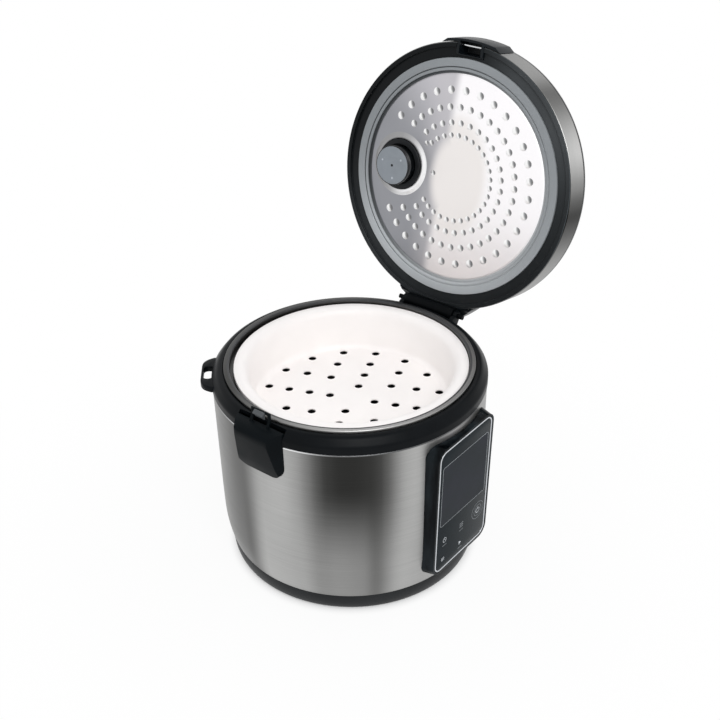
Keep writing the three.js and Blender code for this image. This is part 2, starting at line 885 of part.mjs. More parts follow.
// The press wedge: its side profile, its plan and its front outline, each as a prism, and what they share.
function latchWedge() {
  const back = -(bodyRadius - 6);
  const top = rimLedge - 1;
  const nose = -(bodyRadius + latchReach);
  const bottom = latchFloor;
  const side = outlineOf([
    [back, bottom],
    [-shellRadius(bottom) - 0.3, bottom],
    [-shellRadius(bottom) - 4.8, bottom + 14],
    [nose + 1.2, top - 12],
    [nose, top - 3],
    [nose + 1.4, top],
    [back, top],
  ]);
  const plan = outlineOf([
    [back, -latchHalfWidth],
    [-(bodyRadius - 3), -latchHalfWidth],
    [nose + 1, -latchFaceHalfWidth],
    [nose - 0.4, -latchFaceHalfWidth / 2],
    [nose - 0.8, 0],
    [nose - 0.4, latchFaceHalfWidth / 2],
    [nose + 1, latchFaceHalfWidth],
    [-(bodyRadius - 3), latchHalfWidth],
    [back, latchHalfWidth],
  ]);
  const height = 2 * (top - bottom);
  const front = roundedRectangle(2 * latchHalfWidth, height, 10, 0, bottom + height / 2);
  return overlap(
    sidePrism(side, -latchHalfWidth, latchHalfWidth),
    prism(plan, bottom - 1, top + 1),
    frontPrism(front, nose - 5, back + 5),
  );
}

// The frame above the wedge that carries the catch's nose, leaning in a little.
function latchTower() {
  const foot = rimLedge - 3;
  const top = noseLevel + noseHeight;
  const outer = catchX + catchRadius + clearance + nosePlate + 0.3;
  const inner = outer + 1.8;
  const knee = noseLevel - 4.5;
  const lean = 3.4;
  const leg = 3;
  const side = [
    [inner - lean, foot],
    [outer - lean - 1, foot],
    [outer, knee],
    [outer, top],
    [inner, top],
    [inner, knee],
  ];
  const opening = box(
    [catchX - 20, catchX + 20],
    [-towerHalfWidth + leg, towerHalfWidth - leg],
    [rimLedge - 1, top - 2.6],
  );
  return cut(sidePrism(side, -towerHalfWidth, towerHalfWidth), opening);
}

function latch() {
  const pivotX = -latchPivotX();
  const lugRadius = 3.4;
  const bore = pinRadius + clearance;
  const springRoom = 7;
  const roomBelow = 2.35 * lugRadius;
  const roomAbove = 3.5 * lugRadius;
  const atPivot = (geometry) => geometry.translate(pivotX, 0, latchPivotHeight);
  const lugEnd = latchHalfWidth - 3;
  const lug = atPivot(rodAlongY(lugRadius, -lugEnd, lugEnd, 16));
  const web = box(
    [-(bodyRadius - 5), pivotX],
    [-lugEnd, lugEnd],
    [latchPivotHeight - lugRadius, latchPivotHeight + lugRadius],
  );
  const shellSide = shellCore(-shellWall - clearance, latchFloor - 20, shellTop + 30);
  const inside = overlap(join(lug, web), shellSide);
  const hollow = box(
    [-(bodyRadius + 1), -(bodyRadius - 20)],
    [-springRoom, springRoom],
    [latchPivotHeight - roomBelow, latchPivotHeight + roomAbove],
  );
  const lever = cut(
    join(latchWedge(), inside, latchTower()),
    hollow,
    atPivot(rodAlongY(bore, -latchHalfWidth - 1, latchHalfWidth + 1, 16)),
  );
  const pinEnd = latchHalfWidth + 4;
  const pin = atPivot(rodAlongY(pinRadius, -pinEnd, pinEnd, 12));
  const spring = atPivot(coil(3.1, 0.7, -springRoom + 1.5, springRoom - 1.5, 3).rotateX(Math.PI / 2));
  return [
    part("latch_lever", lever, blackPlastic),
    part("latch_nose", latchNose(), lightGrey),
    part("latch_pin", pin, springSteel),
    part("latch_spring", spring, springSteel),
  ];
}

// The catch insert on the tower's crossbar: a plate with a nose that reaches over the lid's bar.
function latchNose() {
  const face = catchX + catchRadius + clearance;
  const tip = face - noseReach;
  const top = noseLevel + noseHeight;
  const profile = [
    [face + nosePlate, noseLevel - 4],
    [face, noseLevel - 4],
    [face, noseLevel],
    [tip, noseLevel],
    [tip, noseLevel + 1],
    [face, top],
    [face + nosePlate, top],
  ];
  return sidePrism(profile, -noseWidth / 2, noseWidth / 2);
}

// ---- Lid, in its closed place ----

function arcOutline(radius, halfWidth, steps, side = 1) {
  const reach = Math.asin(halfWidth / radius);
  return Array.from({ length: steps + 1 }, (_, i) => {
    const angle = reach * ((2 * i) / steps - 1);
    return [side * radius * Math.cos(angle), radius * Math.sin(angle)];
  });
}

function lidRing() {
  const wallOuter = lidRadius - clearance;
  const wallInner = wallOuter - 2;
  const groove = lidFace + 2.6;
  const shelf = groove + 2;
  const ring = revolve([
    [lidRadius, lidFace],
    [lidRadius, bandFoot - clearance],
    [wallOuter, bandFoot - clearance],
    [wallOuter, bandTop - 3],
    [wallInner, bandTop - 3],
    [wallInner, shelf],
    [gasketRadius + clearance, shelf],
    [gasketRadius + clearance, groove],
    [lidRadius - lidRingWidth, groove],
    [lidRadius - lidRingWidth, lidFace],
  ]);
  const barrelRoom = atHinge(rodAlongY(barrelRadius + clearance, -armHalfWidth, armHalfWidth, 28));
  const armRoom = box(
    [lidRadius - 14, lidRadius + 5],
    [-barrelHalfLength - clearance, barrelHalfLength + clearance],
    [lidFace - 1, hingeZ + barrelRadius + 2 * clearance],
  );
  const blockRoom = box(
    [-lidRadius - 5, catchX + 10.2 + clearance],
    [-catchHalfWidth() - clearance, catchHalfWidth() + clearance],
    [lidFace - 1, bandTop],
  );
  return part("lid_ring", cut(ring, overlap(barrelRoom, armRoom), blockRoom), blackPlastic);
}

const catchHalfWidth = () => towerHalfWidth + 4;
const blockRoof = () => bandTop - 8;

function lidBand() {
  const wrap = revolve([
    [bodyRadius, bandFoot],
    [bodyRadius, bandTop],
    [lidRadius, bandTop],
    [lidRadius, bandFoot],
  ]);
  const armWindow = box(
    [0, bodyRadius + 5],
    [-armHalfWidth + 4, armHalfWidth - 4],
    [bandFoot - 1, bandTop - 3 + clearance],
  );
  const blockWindow = box(
    [-bodyRadius - 5, 0],
    [-catchHalfWidth() - clearance, catchHalfWidth() + clearance],
    [bandFoot - 1, blockRoof() + clearance],
  );
  return part("lid_band", cut(wrap, armWindow, blockWindow), brushedSteel);
}

// The bracket that joins the lid to its barrel, and the barrel, hollow in the middle for the spring.
function lidArm() {
  const inner = bodyRadius + clearance;
  const foot = bandFoot;
  const top = bandTop - 3;
  const neck = hingeX + barrelRadius;
  const flare = new THREE.Shape();
  const edge = Math.sqrt(inner * inner - armHalfWidth * armHalfWidth);
  flare.moveTo(edge - 6, -armHalfWidth);
  flare.lineTo(edge + 1.5, -armHalfWidth);
  flare.quadraticCurveTo(hingeX - 3, -armHalfWidth + 5, neck, -barrelHalfLength);
  flare.lineTo(neck, barrelHalfLength);
  flare.quadraticCurveTo(hingeX - 3, armHalfWidth - 5, edge + 1.5, armHalfWidth);
  flare.lineTo(edge - 6, armHalfWidth);
  const outside = cut(prism(flare, foot, top, 5), rod(inner, foot - 20, top + 1, bigSides));
  const tabHalf = armHalfWidth - 4 - clearance;
  const tabRing = revolve([
    [lidRadius, foot],
    [inner + 1, foot],
    [inner + 1, top - clearance],
    [lidRadius, top - clearance],
  ]);
  const tab = overlap(tabRing, box([0, neck], [-tabHalf, tabHalf], [foot, top]));
  const barrel = atHinge(rodAlongY(barrelRadius, -barrelHalfLength, barrelHalfLength, 28));
  const neckBlock = box(
    [inner, neck],
    [-barrelHalfLength, barrelHalfLength],
    [hingeZ, foot + 1],
  );
  const knuckleRoom = [1, -1].map((side) => {
    const near = side * (barrelHalfLength + clearance / 4);
    const far = side * (armHalfWidth + 5);
    return atHinge(
      rodAlongY(barrelRadius + 2 * clearance, Math.min(near, far), Math.max(near, far), 28),
    );
  });
  const bore = atHinge(rodAlongY(hingePinRadius + clearance, -barrelHalfLength - 1, barrelHalfLength + 1));
  const springRoom = atHinge(rodAlongY(barrelRadius - 1.7, -springHalf() - 1, springHalf() + 1));
  const springDoor = box(
    [hingeX - 3, hingeX + 3],
    [-springHalf() - 1, springHalf() + 1],
    [hingeZ - barrelRadius - 1, hingeZ],
  );
  const whole = join(outside, tab, barrel, cut(neckBlock, ...knuckleRoom));
  return part("lid_arm", cut(whole, ...knuckleRoom, bore, springRoom, springDoor), blackPlastic);
}

const springHalf = () => barrelHalfLength / 3;

function hingePieces() {
  const pinEnd = barrelHalfLength + knuckleLength;
  const pin = atHinge(rodAlongY(hingePinRadius, -pinEnd, pinEnd));
  const wire = 0.7;
  const mean = hingePinRadius + 0.5 + wire;
  const spring = atHinge(
    coil(mean, wire, -springHalf() + wire, springHalf() - wire, 4).rotateX(Math.PI / 2),
  );
  return [part("hinge_pin", pin, springSteel), part("lid_spring", spring, springSteel)];
}

// The housing of the lid's catch: a pocket around the bar, and a face that laps over the steel band.
function latchBlock() {
  const half = catchHalfWidth();
  const back = catchX + 10.2;
  const outerFace = bodyRadius + 3.5;
  const lapHalf = 34;
  const faceHalf = 28;
  const core = join(
    box([-(outerFace - 1), back], [-half, half], [gasketFace, blockRoof()]),
    box([-(outerFace - 1), -(flangeRadius + clearance)], [-half, half], [lidFace, blockRoof()]),
  );
  const lap = prism(
    [
      ...arcOutline(bodyRadius + clearance, lapHalf, 12, -1).reverse(),
      ...arcOutline(outerFace, faceHalf, 8, -1),
    ],
    lidFace,
    bandTop,
  );
  const pocketFront = 3.9;
  const pocketBack = noseReach + 6;
  const pocketRoof = noseHeight + 13.8;
  const pocket = box(
    [catchX - pocketFront, catchX + pocketBack],
    [-towerHalfWidth - 1, towerHalfWidth + 1],
    [lidFace - 1, lidFace + pocketRoof],
  );
  const barHole = rodAlongY(catchRadius + 0.3, -half - 1, half + 1, 12).translate(catchX, 0, catchZ);
  const bar = rodAlongY(catchRadius, -half + 0.5, half - 0.5, 12).translate(catchX, 0, catchZ);
  return [
    part("latch_block", cut(join(core, lap), pocket, barHole), blackPlastic),
    part("catch_bar", bar, polishedSteel),
  ];
}

function lidCover() {
  const edge = bandTop + clearance;
  const plug = lidRadius - 2.4 - 2 * clearance;
  const plugWall = 2;
  const plugDepth = 7;
  const shoulder = 41;
  const rise = bend([bodyRadius - shoulder, 0], [bodyRadius, coverTop - edge], 4);
  const under = bend([bodyRadius - shoulder, 0], [bodyRadius - coverWall, coverRise - coverWall], 3);
  const shell = revolve([
    [0, coverTop - coverWall],
    ...under.map(([r, z]) => [r, coverTop - coverWall - z]).slice(0, -1),
    [plug - plugWall, coverTop - coverRise + clearance],
    [plug - plugWall, edge - plugDepth],
    [plug, edge - plugDepth],
    [plug, edge],
    ...rise.reverse().map(([r, z]) => [r, coverTop - z]),
    [0, coverTop],
  ]);
  const holeRadius = ductRadius() + clearance;
  const ductHole = rod(holeRadius, coverTop - 10, coverTop + 5, 16).translate(0, valveOffset, 0);
  return part("lid_cover", cut(shell, ductHole), glossBlack);
}

function lidGasket() {
  const inner = gasketRadius - gasketReach;
  const shelf = lidFace + 4.6;
  const plateBack = plateFace + plateThickness;
  return part(
    "lid_gasket",
    revolve([
      [inner, plateFace - 0.5],
      [inner + 3.5, gasketFace],
      [gasketRadius, gasketFace],
      [gasketRadius, shelf + clearance],
      [gasketRadius + 1.8, shelf + clearance],
      [gasketRadius + 1.8, shelf + 2.2],
      [inner + 0.5, shelf + 2.2],
      [inner + 0.5, plateBack + 0.3],
      [inner + 3, plateBack + 0.3],
      [inner + 3, plateFace - 0.3],
      [inner, plateFace - 0.3],
    ]),
    greyRubber,
  );
}

// Rings of dimples, as [radius, count, half of the gap in degrees, share of the largest dimple's size].
// Every gap faces the steam valve, and one more dimple stands in the innermost gap.
const dimpleRings = [
  [88.5, 27, 34, 1],
  [71.6, 30, 38.5, 0.9],
  [56.1, 25, 44.5, 0.83],
  [43.6, 25, 43, 0.72],
];

function innerPlate() {
  const edge = gasketRadius - gasketReach + 2.7;
  const holeRadius = valveRadius + 6;
  const disc = revolve([
    [0, plateFace],
    [edge, plateFace],
    [edge, plateFace + plateThickness],
    [0, plateFace + plateThickness],
  ]);
  const collar = revolve(
    [
      [holeRadius - 1, plateFace - 1.6],
      [holeRadius + 3, plateFace - 1.6],
      [holeRadius + 8, plateFace + 0.1],
      [holeRadius + 8, plateFace + plateThickness],
      [holeRadius - 1, plateFace + plateThickness],
    ],
    20,
  ).translate(0, valveOffset, 0);
  const hole = rod(holeRadius, plateFace - 5, plateFace + 5, 32).translate(0, valveOffset, 0);
  const dimple = (share) =>
    new THREE.ConeGeometry(dimpleRadius * share, dimpleHeight + 0.2, 6)
      .rotateX(-Math.PI / 2)
      .translate(0, 0, plateFace - dimpleHeight / 2 + 0.1);
  const dimples = dimpleRings.flatMap(([radius, count, gap, share]) => {
    const step = (360 - 2 * gap) / (count - 1);
    return Array.from({ length: count }, (_, i) => atAngle(dimple(share), 90 + gap + step * i, radius));
  });
  const [innermost] = dimpleRings.slice(-1);
  const centreDimple = atAngle(dimple(innermost[3]), 90, 25);
  const plate = cut(join(disc, collar, ...dimples, centreDimple), hole);
  return part("inner_plate", plate, polishedSteel);
}

// ---- Steam path through the lid ----

const ductRadius = () => valveRadius - 1.5;

function steamPath() {
  const atValve = (geometry) => geometry.translate(0, valveOffset, 0);
  const holeRadius = valveRadius + 6;
  const plateBack = plateFace + plateThickness;
  const flangeFoot = plateBack + clearance;
  const duct = ductRadius();
  const ductTop = coverTop + 1.4;
  const seat = flangeFoot + 0.6;
  const ductSolid = revolve(
    [
      [valveRadius + clearance, plateFace - 3.6],
      [holeRadius - clearance, plateFace - 3.6],
      [holeRadius - clearance, flangeFoot],
      [holeRadius + 4, flangeFoot],
      [holeRadius + 4, flangeFoot + 1.8],
      [duct, flangeFoot + 1.8],
      [duct, ductTop],
      [duct - 2, ductTop],
      [duct - 2, seat],
      [valveRadius + clearance, seat],
    ],
    20,
  );
  const capFace = gasketFace - valveReach;
  const capTop = seat - clearance;
  const capShell = revolve(
    [
      [0, capFace],
      [valveRadius - 1.2, capFace],
      [valveRadius, capFace + 1.2],
      [valveRadius, capTop],
      [valveRadius - 2, capTop],
      [valveRadius - 2, capFace + 2],
      [0, capFace + 2],
    ],
    20,
  );
  const vents = [-13, 110, 236].map((a) => atAngle(rod(1.8, capFace - 1, capFace + 3, 8), a, 13));
  const dot = rod(2.2, capFace - 1, capFace + 1, 10);
  const cap = cut(capShell, ...vents, dot);
  return [
    part("steam_duct", atValve(ductSolid), darkPlastic),
    partAt("valve_cap", cap, greyPlastic, 0, valveOffset),
  ];
}

function partAt(name, shape, finish, x, y) {
  const mesh = part(name, shape, finish);
  mesh.position.set(x, y, 0);
  return mesh;
}

function ventCap() {
  const duct = ductRadius();
  const foot = coverTop + clearance;
  const top = foot + ventHeight;
  const plug = duct - 2 - clearance;
  const cap = revolve(
    [
      [duct + 2, foot],
      [ventRadius, foot],
      [ventRadius, top - 2.5],
      [ventRadius - 2.5, top],
      [0, top],
      [0, top - 2],
      [plug - 2, top - 2],
      [plug - 2, coverTop - 8],
      [plug, coverTop - 8],
      [plug, top - 2],
      [duct + 2, top - 2],
    ],
    20,
  );
  const slots = [0, 60, 120].map((a) =>
    atAngle(box([-duct - 1, duct + 1], [-2, 2], [coverTop + 2, top - 3]), a),
  );
  return partAt("vent_cap", cut(cap, ...slots), blackPlastic, 0, valveOffset);
}

// ---- Assembly ----

const body = new THREE.Group();
body.add(
  baseCover(),
  ...feet(),
  ...baseScrews(),
  bodyShell(),
  upperRim(),
  liner(),
  heatingPlate(),
  ...sensor(),
  panelHousing(),
  panelTrim(),
  panelFace(),
  ...panelElectronics(),
  ...inlet(),
  ...latch(),
  ...hingePieces(),
);

const lidPieces = new THREE.Group();
lidPieces.position.set(-hingeX, 0, -hingeZ);
lidPieces.add(
  lidRing(),
  lidBand(),
  lidArm(),
  ...latchBlock(),
  lidCover(),
  lidGasket(),
  innerPlate(),
  ...steamPath(),
  ventCap(),
);

const lid = new THREE.Group();
lid.position.set(hingeX, 0, hingeZ);
lid.rotation.y = radians(openAngle);
lid.add(lidPieces);

const cooker = new THREE.Group();
cooker.add(body, innerPot(), steamerBasket(), lid);

export default cooker;
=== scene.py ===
# Electric multicooker with its lid up, a steamer basket in the pot, and a touch panel on the front.
# Sizes in the dictionaries are millimetres; everything is made in metres.

import math

import bpy
from mathutils import Matrix, Vector


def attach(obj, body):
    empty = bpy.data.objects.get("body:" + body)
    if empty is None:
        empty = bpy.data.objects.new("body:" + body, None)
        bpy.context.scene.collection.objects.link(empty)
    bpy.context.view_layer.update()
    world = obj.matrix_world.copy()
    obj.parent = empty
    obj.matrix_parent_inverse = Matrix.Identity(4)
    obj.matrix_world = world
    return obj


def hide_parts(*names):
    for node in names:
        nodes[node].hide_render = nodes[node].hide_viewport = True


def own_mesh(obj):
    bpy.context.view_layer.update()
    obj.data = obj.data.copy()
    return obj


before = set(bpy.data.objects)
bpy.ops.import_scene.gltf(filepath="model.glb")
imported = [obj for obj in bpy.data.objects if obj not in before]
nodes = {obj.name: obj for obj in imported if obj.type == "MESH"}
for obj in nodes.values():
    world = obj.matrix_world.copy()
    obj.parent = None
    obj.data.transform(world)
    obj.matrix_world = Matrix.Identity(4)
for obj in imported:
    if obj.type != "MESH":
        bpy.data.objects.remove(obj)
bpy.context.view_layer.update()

print("frame loaded")

hingeAxis = (137.7, 209.2)  # x and height
openAngle = 101.8
valveSpot = (0, 66.5)  # on the closed lid


def setMode(mode):
    bpy.ops.object.mode_set(mode=mode)


def deselectAll():
    if bpy.context.object and bpy.context.object.mode != "OBJECT":
        setMode("OBJECT")
    bpy.ops.object.select_all(action="DESELECT")


def pickOnly(piece):
    deselectAll()
    piece.select_set(True)
    bpy.context.view_layer.objects.active = piece


def metres(*values):
    return tuple(value / 1000 for value in values)


def editAll(piece):
    pickOnly(piece)
    setMode("EDIT")
    bpy.ops.mesh.select_all(action="SELECT")


def tidyMesh(piece, merge=0.002):
    editAll(piece)
    bpy.ops.mesh.remove_doubles(threshold=merge / 1000)
    bpy.ops.mesh.normals_make_consistent(inside=False)
    setMode("OBJECT")


def applyPlace(piece):
    pickOnly(piece)
    bpy.ops.object.transform_apply(location=True, rotation=True, scale=True)


# Names the newest object and sets its place into its mesh.
def nameNew(name):
    piece = bpy.context.object
    piece.name = name
    applyPlace(piece)
    return piece


def place(piece, matrix):
    piece.matrix_world = matrix @ piece.matrix_world
    bpy.context.view_layer.update()
    applyPlace(piece)
    return piece


def addModifier(piece, kind, **settings):
    pickOnly(piece)
    modifier = piece.modifiers.new(kind.title(), kind)
    for key, value in settings.items():
        setattr(modifier, key, value)
    bpy.ops.object.modifier_apply(modifier=modifier.name)
    return piece


def roundEdges(piece, width, segments, angle):
    return addModifier(
        piece, "BEVEL", width=width / 1000, segments=segments, limit_method="ANGLE",
        angle_limit=math.radians(angle), harden_normals=False, use_clamp_overlap=True,
    )


def boolean(piece, tool, operation):
    addModifier(piece, "BOOLEAN", object=tool, operation=operation, solver="EXACT")
    bpy.data.objects.remove(tool)
    return piece


def cutAway(piece, *tools):
    for tool in tools:
        boolean(piece, tool, "DIFFERENCE")
    return piece


def unite(piece, *others):
    for other in others:
        boolean(piece, other, "UNION")
    return piece


def smooth(piece, angle=30):
    pickOnly(piece)
    bpy.ops.object.shade_smooth_by_angle(angle=math.radians(angle))
    return piece


def joinPieces(name, pieces):
    deselectAll()
    for piece in pieces:
        piece.select_set(True)
    bpy.context.view_layer.objects.active = pieces[0]
    bpy.ops.object.join()
    joined = bpy.context.object
    joined.name = name
    return joined


# A round piece: a circle extruded and resized along a profile of (radius, height) points.
def turned(name, profile, sides=192, at=(0, 0), ring=False):
    deselectAll()
    radius, level = profile[0]
    bpy.ops.mesh.primitive_circle_add(vertices=sides, radius=radius / 1000, location=metres(*at, level))
    editAll(bpy.context.object)
    for (fromRadius, fromLevel), (toRadius, toLevel) in zip(profile, profile[1:]):
        rise = metres(0, 0, toLevel - fromLevel)
        bpy.ops.mesh.extrude_edges_move(TRANSFORM_OT_translate={"value": rise})
        grow = toRadius / fromRadius
        bpy.ops.transform.resize(value=(grow, grow, 1), center_override=metres(*at, toLevel))
    bpy.ops.mesh.select_all(action="DESELECT")
    bpy.ops.mesh.select_non_manifold()
    if ring:
        bpy.ops.mesh.bridge_edge_loops()
    else:
        bpy.ops.mesh.fill_holes(sides=0)
    bpy.ops.mesh.select_all(action="SELECT")
    bpy.ops.mesh.normals_make_consistent(inside=False)
    return nameNew(name)


# Points of a quarter ellipse that leaves the first point level and reaches the second upright.
def quarter(start, end, steps=8):
    points = []
    for step in range(steps + 1):
        turn = math.pi / 2 * step / steps
        points.append((
            start[0] + (end[0] - start[0]) * math.sin(turn),
            end[1] + (start[1] - end[1]) * math.cos(turn),
        ))
    return points


# A flat piece from closed outlines, the first one outside and the rest holes, with rounded edges.
def plate(name, outlines, bottom, top, edge=0.4):
    deselectAll()
    curve = bpy.data.curves.new(name, "CURVE")
    curve.dimensions = "2D"
    curve.fill_mode = "BOTH"
    curve.bevel_depth = edge / 1000
    curve.bevel_resolution = 2
    curve.offset = -edge / 1000
    curve.extrude = (top - bottom) / 2000 - edge / 1000
    for outline in outlines:
        spline = curve.splines.new("POLY")
        spline.points.add(len(outline) - 1)
        for point, (u, v) in zip(spline.points, outline):
            point.co = (*metres(u, v), 0, 1)
        spline.use_cyclic_u = True
    piece = bpy.data.objects.new(name, curve)
    bpy.context.scene.collection.objects.link(piece)
    piece.location.z = (top + bottom) / 2000
    pickOnly(piece)
    bpy.ops.object.convert(target="MESH")
    piece = nameNew(name)
    tidyMesh(piece)
    return piece


def roundedOutline(width, height, corner, middle=(0, 0), steps=8):
    points = []
    for quadrant, (signU, signV) in enumerate(((1, 1), (-1, 1), (-1, -1), (1, -1))):
        for step in range(steps + 1):
            turn = math.pi / 2 * (quadrant + step / steps)
            points.append((
                middle[0] + signU * (width / 2 - corner) + corner * math.cos(turn),
                middle[1] + signV * (height / 2 - corner) + corner * math.sin(turn),
            ))
    return points


def bezier(start, handleA, handleB, end, steps=10):
    points = []
    corners = (start, handleA, handleB, end)
    for step in range(steps + 1):
        t = step / steps
        weights = ((1 - t) ** 3, 3 * t * (1 - t) ** 2, 3 * t * t * (1 - t), t ** 3)
        points.append(tuple(sum(w * c[axis] for w, c in zip(weights, corners)) for axis in (0, 1)))
    return points


upright = Matrix(((1, 0, 0, 0), (0, 0, -1, 0), (0, 1, 0, 0), (0, 0, 0, 1)))  # outline (x, z), raised toward -Y
alongX = Matrix(((0, 0, 1, 0), (1, 0, 0, 0), (0, 1, 0, 0), (0, 0, 0, 1)))  # outline (y, z), raised toward +X


# A flat piece whose outline is in X and Z, filling Y from near to far.
def sidePlate(name, outlines, near, far, edge=0.4):
    return place(plate(name, outlines, -far, -near, edge), upright)


def rod(name, radius, bottom, top, at=(0, 0), sides=192):
    deselectAll()
    bpy.ops.mesh.primitive_cylinder_add(
        vertices=sides, radius=radius / 1000, depth=(top - bottom) / 1000, location=metres(*at, (bottom + top) / 2),
    )
    return nameNew(name)


def rodAlongY(name, radius, near, far, at=hingeAxis, sides=64):
    deselectAll()
    bpy.ops.mesh.primitive_cylinder_add(
        vertices=sides, radius=radius / 1000, depth=(far - near) / 1000,
        location=metres(at[0], (near + far) / 2, at[1]), rotation=(math.pi / 2, 0, 0),
    )
    return nameNew(name)


def block(name, x, y, z, edge=0):
    deselectAll()
    bpy.ops.mesh.primitive_cube_add(size=1, location=metres(sum(x) / 2, sum(y) / 2, sum(z) / 2))
    bpy.context.object.scale = metres(x[1] - x[0], y[1] - y[0], z[1] - z[0])
    piece = nameNew(name)
    return roundEdges(piece, edge, 3, 60) if edge else piece


def aroundZ(degrees):
    return Matrix.Rotation(math.radians(degrees), 4, "Z")


def moved(x, y, z=0):
    return Matrix.Translation(metres(x, y, z))


def copyOf(piece, matrix):
    twin = piece.copy()
    twin.data = piece.data.copy()
    bpy.context.scene.collection.objects.link(twin)
    return place(twin, matrix)


finishes = {}


# Gives a piece its shading angle, its finish and the body it rides, and hides the solids it stands for.
def dress(piece, angle, finish, body, slotName, *replaced):
    if angle:
        smooth(piece, angle)
    piece.data.materials.clear()
    piece.data.materials.append(finishes[finish])
    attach(piece, body)
    if replaced:
        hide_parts(*replaced)
    return piece


def dressNode(name, finish):
    solid = nodes[name]
    solid.data.materials.clear()
    solid.data.materials.append(finishes[finish])


# Gives a second finish to the faces whose middle passes a test.
def paintFaces(piece, finish, test):
    piece.data.materials.append(finishes[finish])
    last = len(piece.data.materials) - 1
    for face in piece.data.polygons:
        if test(face.center * 1000):
            face.material_index = last


def fromAxis(spot, centre=(0, 0)):
    return math.hypot(spot.x - centre[0], spot.y - centre[1])


def tone(red, green=None, blue=None):
    channels = (red, red if green is None else green, red if blue is None else blue)
    linear = []
    for channel in channels:
        share = channel / 255
        linear.append(share / 12.92 if share <= 0.04045 else ((share + 0.055) / 1.055) ** 2.4)
    return (*linear, 1)


# Puts a number, a colour, or the output of another node into a socket.
def feed(socket, value):
    if isinstance(value, bpy.types.NodeSocket):
        value.id_data.links.new(value, socket)
    else:
        socket.default_value = value


def feedAll(node, *values):
    for socket, value in zip(node.inputs, values):
        feed(socket, value)
    return node.outputs[0]


def addNode(tree, kind, **settings):
    made = tree.nodes.new("ShaderNode" + kind)
    for key, value in settings.items():
        if key in made.bl_rna.properties:
            setattr(made, key, value)
        else:
            feed(made.inputs[key], value)
    return made


# The node tree that a calculation's sockets belong to.
def treeOf(*values):
    return next(value.id_data for value in values if isinstance(value, bpy.types.NodeSocket))


def calculate(operation, *values):
    return feedAll(addNode(treeOf(*values), "Math", operation=operation), *values)


def mixColours(factor, first, second, blend="MIX"):
    made = addNode(treeOf(factor, first, second), "Mix", data_type="RGBA", blend_type=blend)
    for index, value in ((0, factor), (6, first), (7, second)):
        feed(made.inputs[index], value)
    return made.outputs[2]


def colourRamp(factor, stops, interpolation="EASE"):
    made = addNode(factor.id_data, "ValToRGB")
    band = made.color_ramp
    band.interpolation = interpolation
    while len(band.elements) < len(stops):
        band.elements.new(0.5)
    for element, (position, colour) in zip(band.elements, stops):
        element.position = position
        element.color = colour
    return feedAll(made, factor)


def mapRange(value, fromLow, fromHigh, toLow=0.0, toHigh=1.0, shape="SMOOTHSTEP"):
    made = addNode(value.id_data, "MapRange", interpolation_type=shape)
    return feedAll(made, value, fromLow, fromHigh, toLow, toHigh)


# Object coordinates in the frame of a matrix, such as the closed lid's, in metres.
def coordinates(node, matrix=None):
    tree = node.id_data
    source = addNode(tree, "TexCoord").outputs["Object"]
    if matrix is None:
        return source
    position, turn, _ = matrix.decompose()
    return addNode(tree, "Mapping", Vector=source, Location=position, Rotation=turn.to_euler()).outputs[0]


def noise(vector, scale, stretch=(1, 1, 1), detail=3.0, roughness=0.55):
    tree = vector.id_data
    place = addNode(tree, "Mapping", Vector=vector, Scale=stretch).outputs[0]
    return addNode(tree, "TexNoise", Vector=place, Scale=scale, Detail=detail, Roughness=roughness).outputs[0]


def splitAxes(vector):
    return addNode(vector.id_data, "SeparateXYZ", Vector=vector).outputs


def newMaterial(name, colour, roughness, metallic=0.0, specular=0.5):
    material = bpy.data.materials.new(name)
    finishes[name] = material
    material.use_nodes = True
    shader = material.node_tree.nodes["Principled BSDF"]
    names = ("Base Color", "Roughness", "Metallic", "Specular IOR Level")
    for name, value in zip(names, (colour, roughness, metallic, specular)):
        feed(shader.inputs[name], value)
    return shader


def addBump(shader, height, distance):
    bump = addNode(shader.id_data, "Bump", Strength=1.0, Distance=distance, Height=height)
    feed(shader.inputs["Normal"], bump.outputs[0])


# Links a colour, and a sheen that varies over a range with a cloud of noise.
def setSurface(shader, colour, cloud, roughness):
    feed(shader.inputs["Base Color"], colour)
    feed(shader.inputs["Roughness"], mapRange(cloud, 0.3, 0.7, *roughness))


# Moulded plastic: a fine spark-eroded grain, slow unevenness in tone, and a varying sheen.
def mouldedPlastic(name, dark, light, roughness, specular, grain=0.00002, grainScale=2600.0, stretch=(1, 1, 1)):
    shader = newMaterial(name, tone(*dark), roughness[0], 0.0, specular)
    place = coordinates(shader)
    cloud = noise(place, 28.0, stretch)
    colour = colourRamp(cloud, ((0.3, tone(*dark)), (0.72, tone(*light))))
    setSurface(shader, colour, cloud, roughness)
    if grain:
        addBump(shader, noise(place, grainScale, detail=2.0), grain)


# Where a point stands round the upright axis, from 0 at -180 degrees to 1 at 180 degrees.
def angleShare(parts, middle=0.0):
    across = calculate("SUBTRACT", parts[1], middle)
    angle = calculate("ARCTAN2", across, parts[0])
    return mapRange(angle, -math.pi, math.pi, shape="LINEAR")


def angleRamp(share, stops, tint=(0, 0, 0), shape="B_SPLINE"):
    colours = [((degrees + 180) / 360, tone(*(level + shift for shift in tint))) for degrees, level in stops]
    return colourRamp(share, colours, shape)


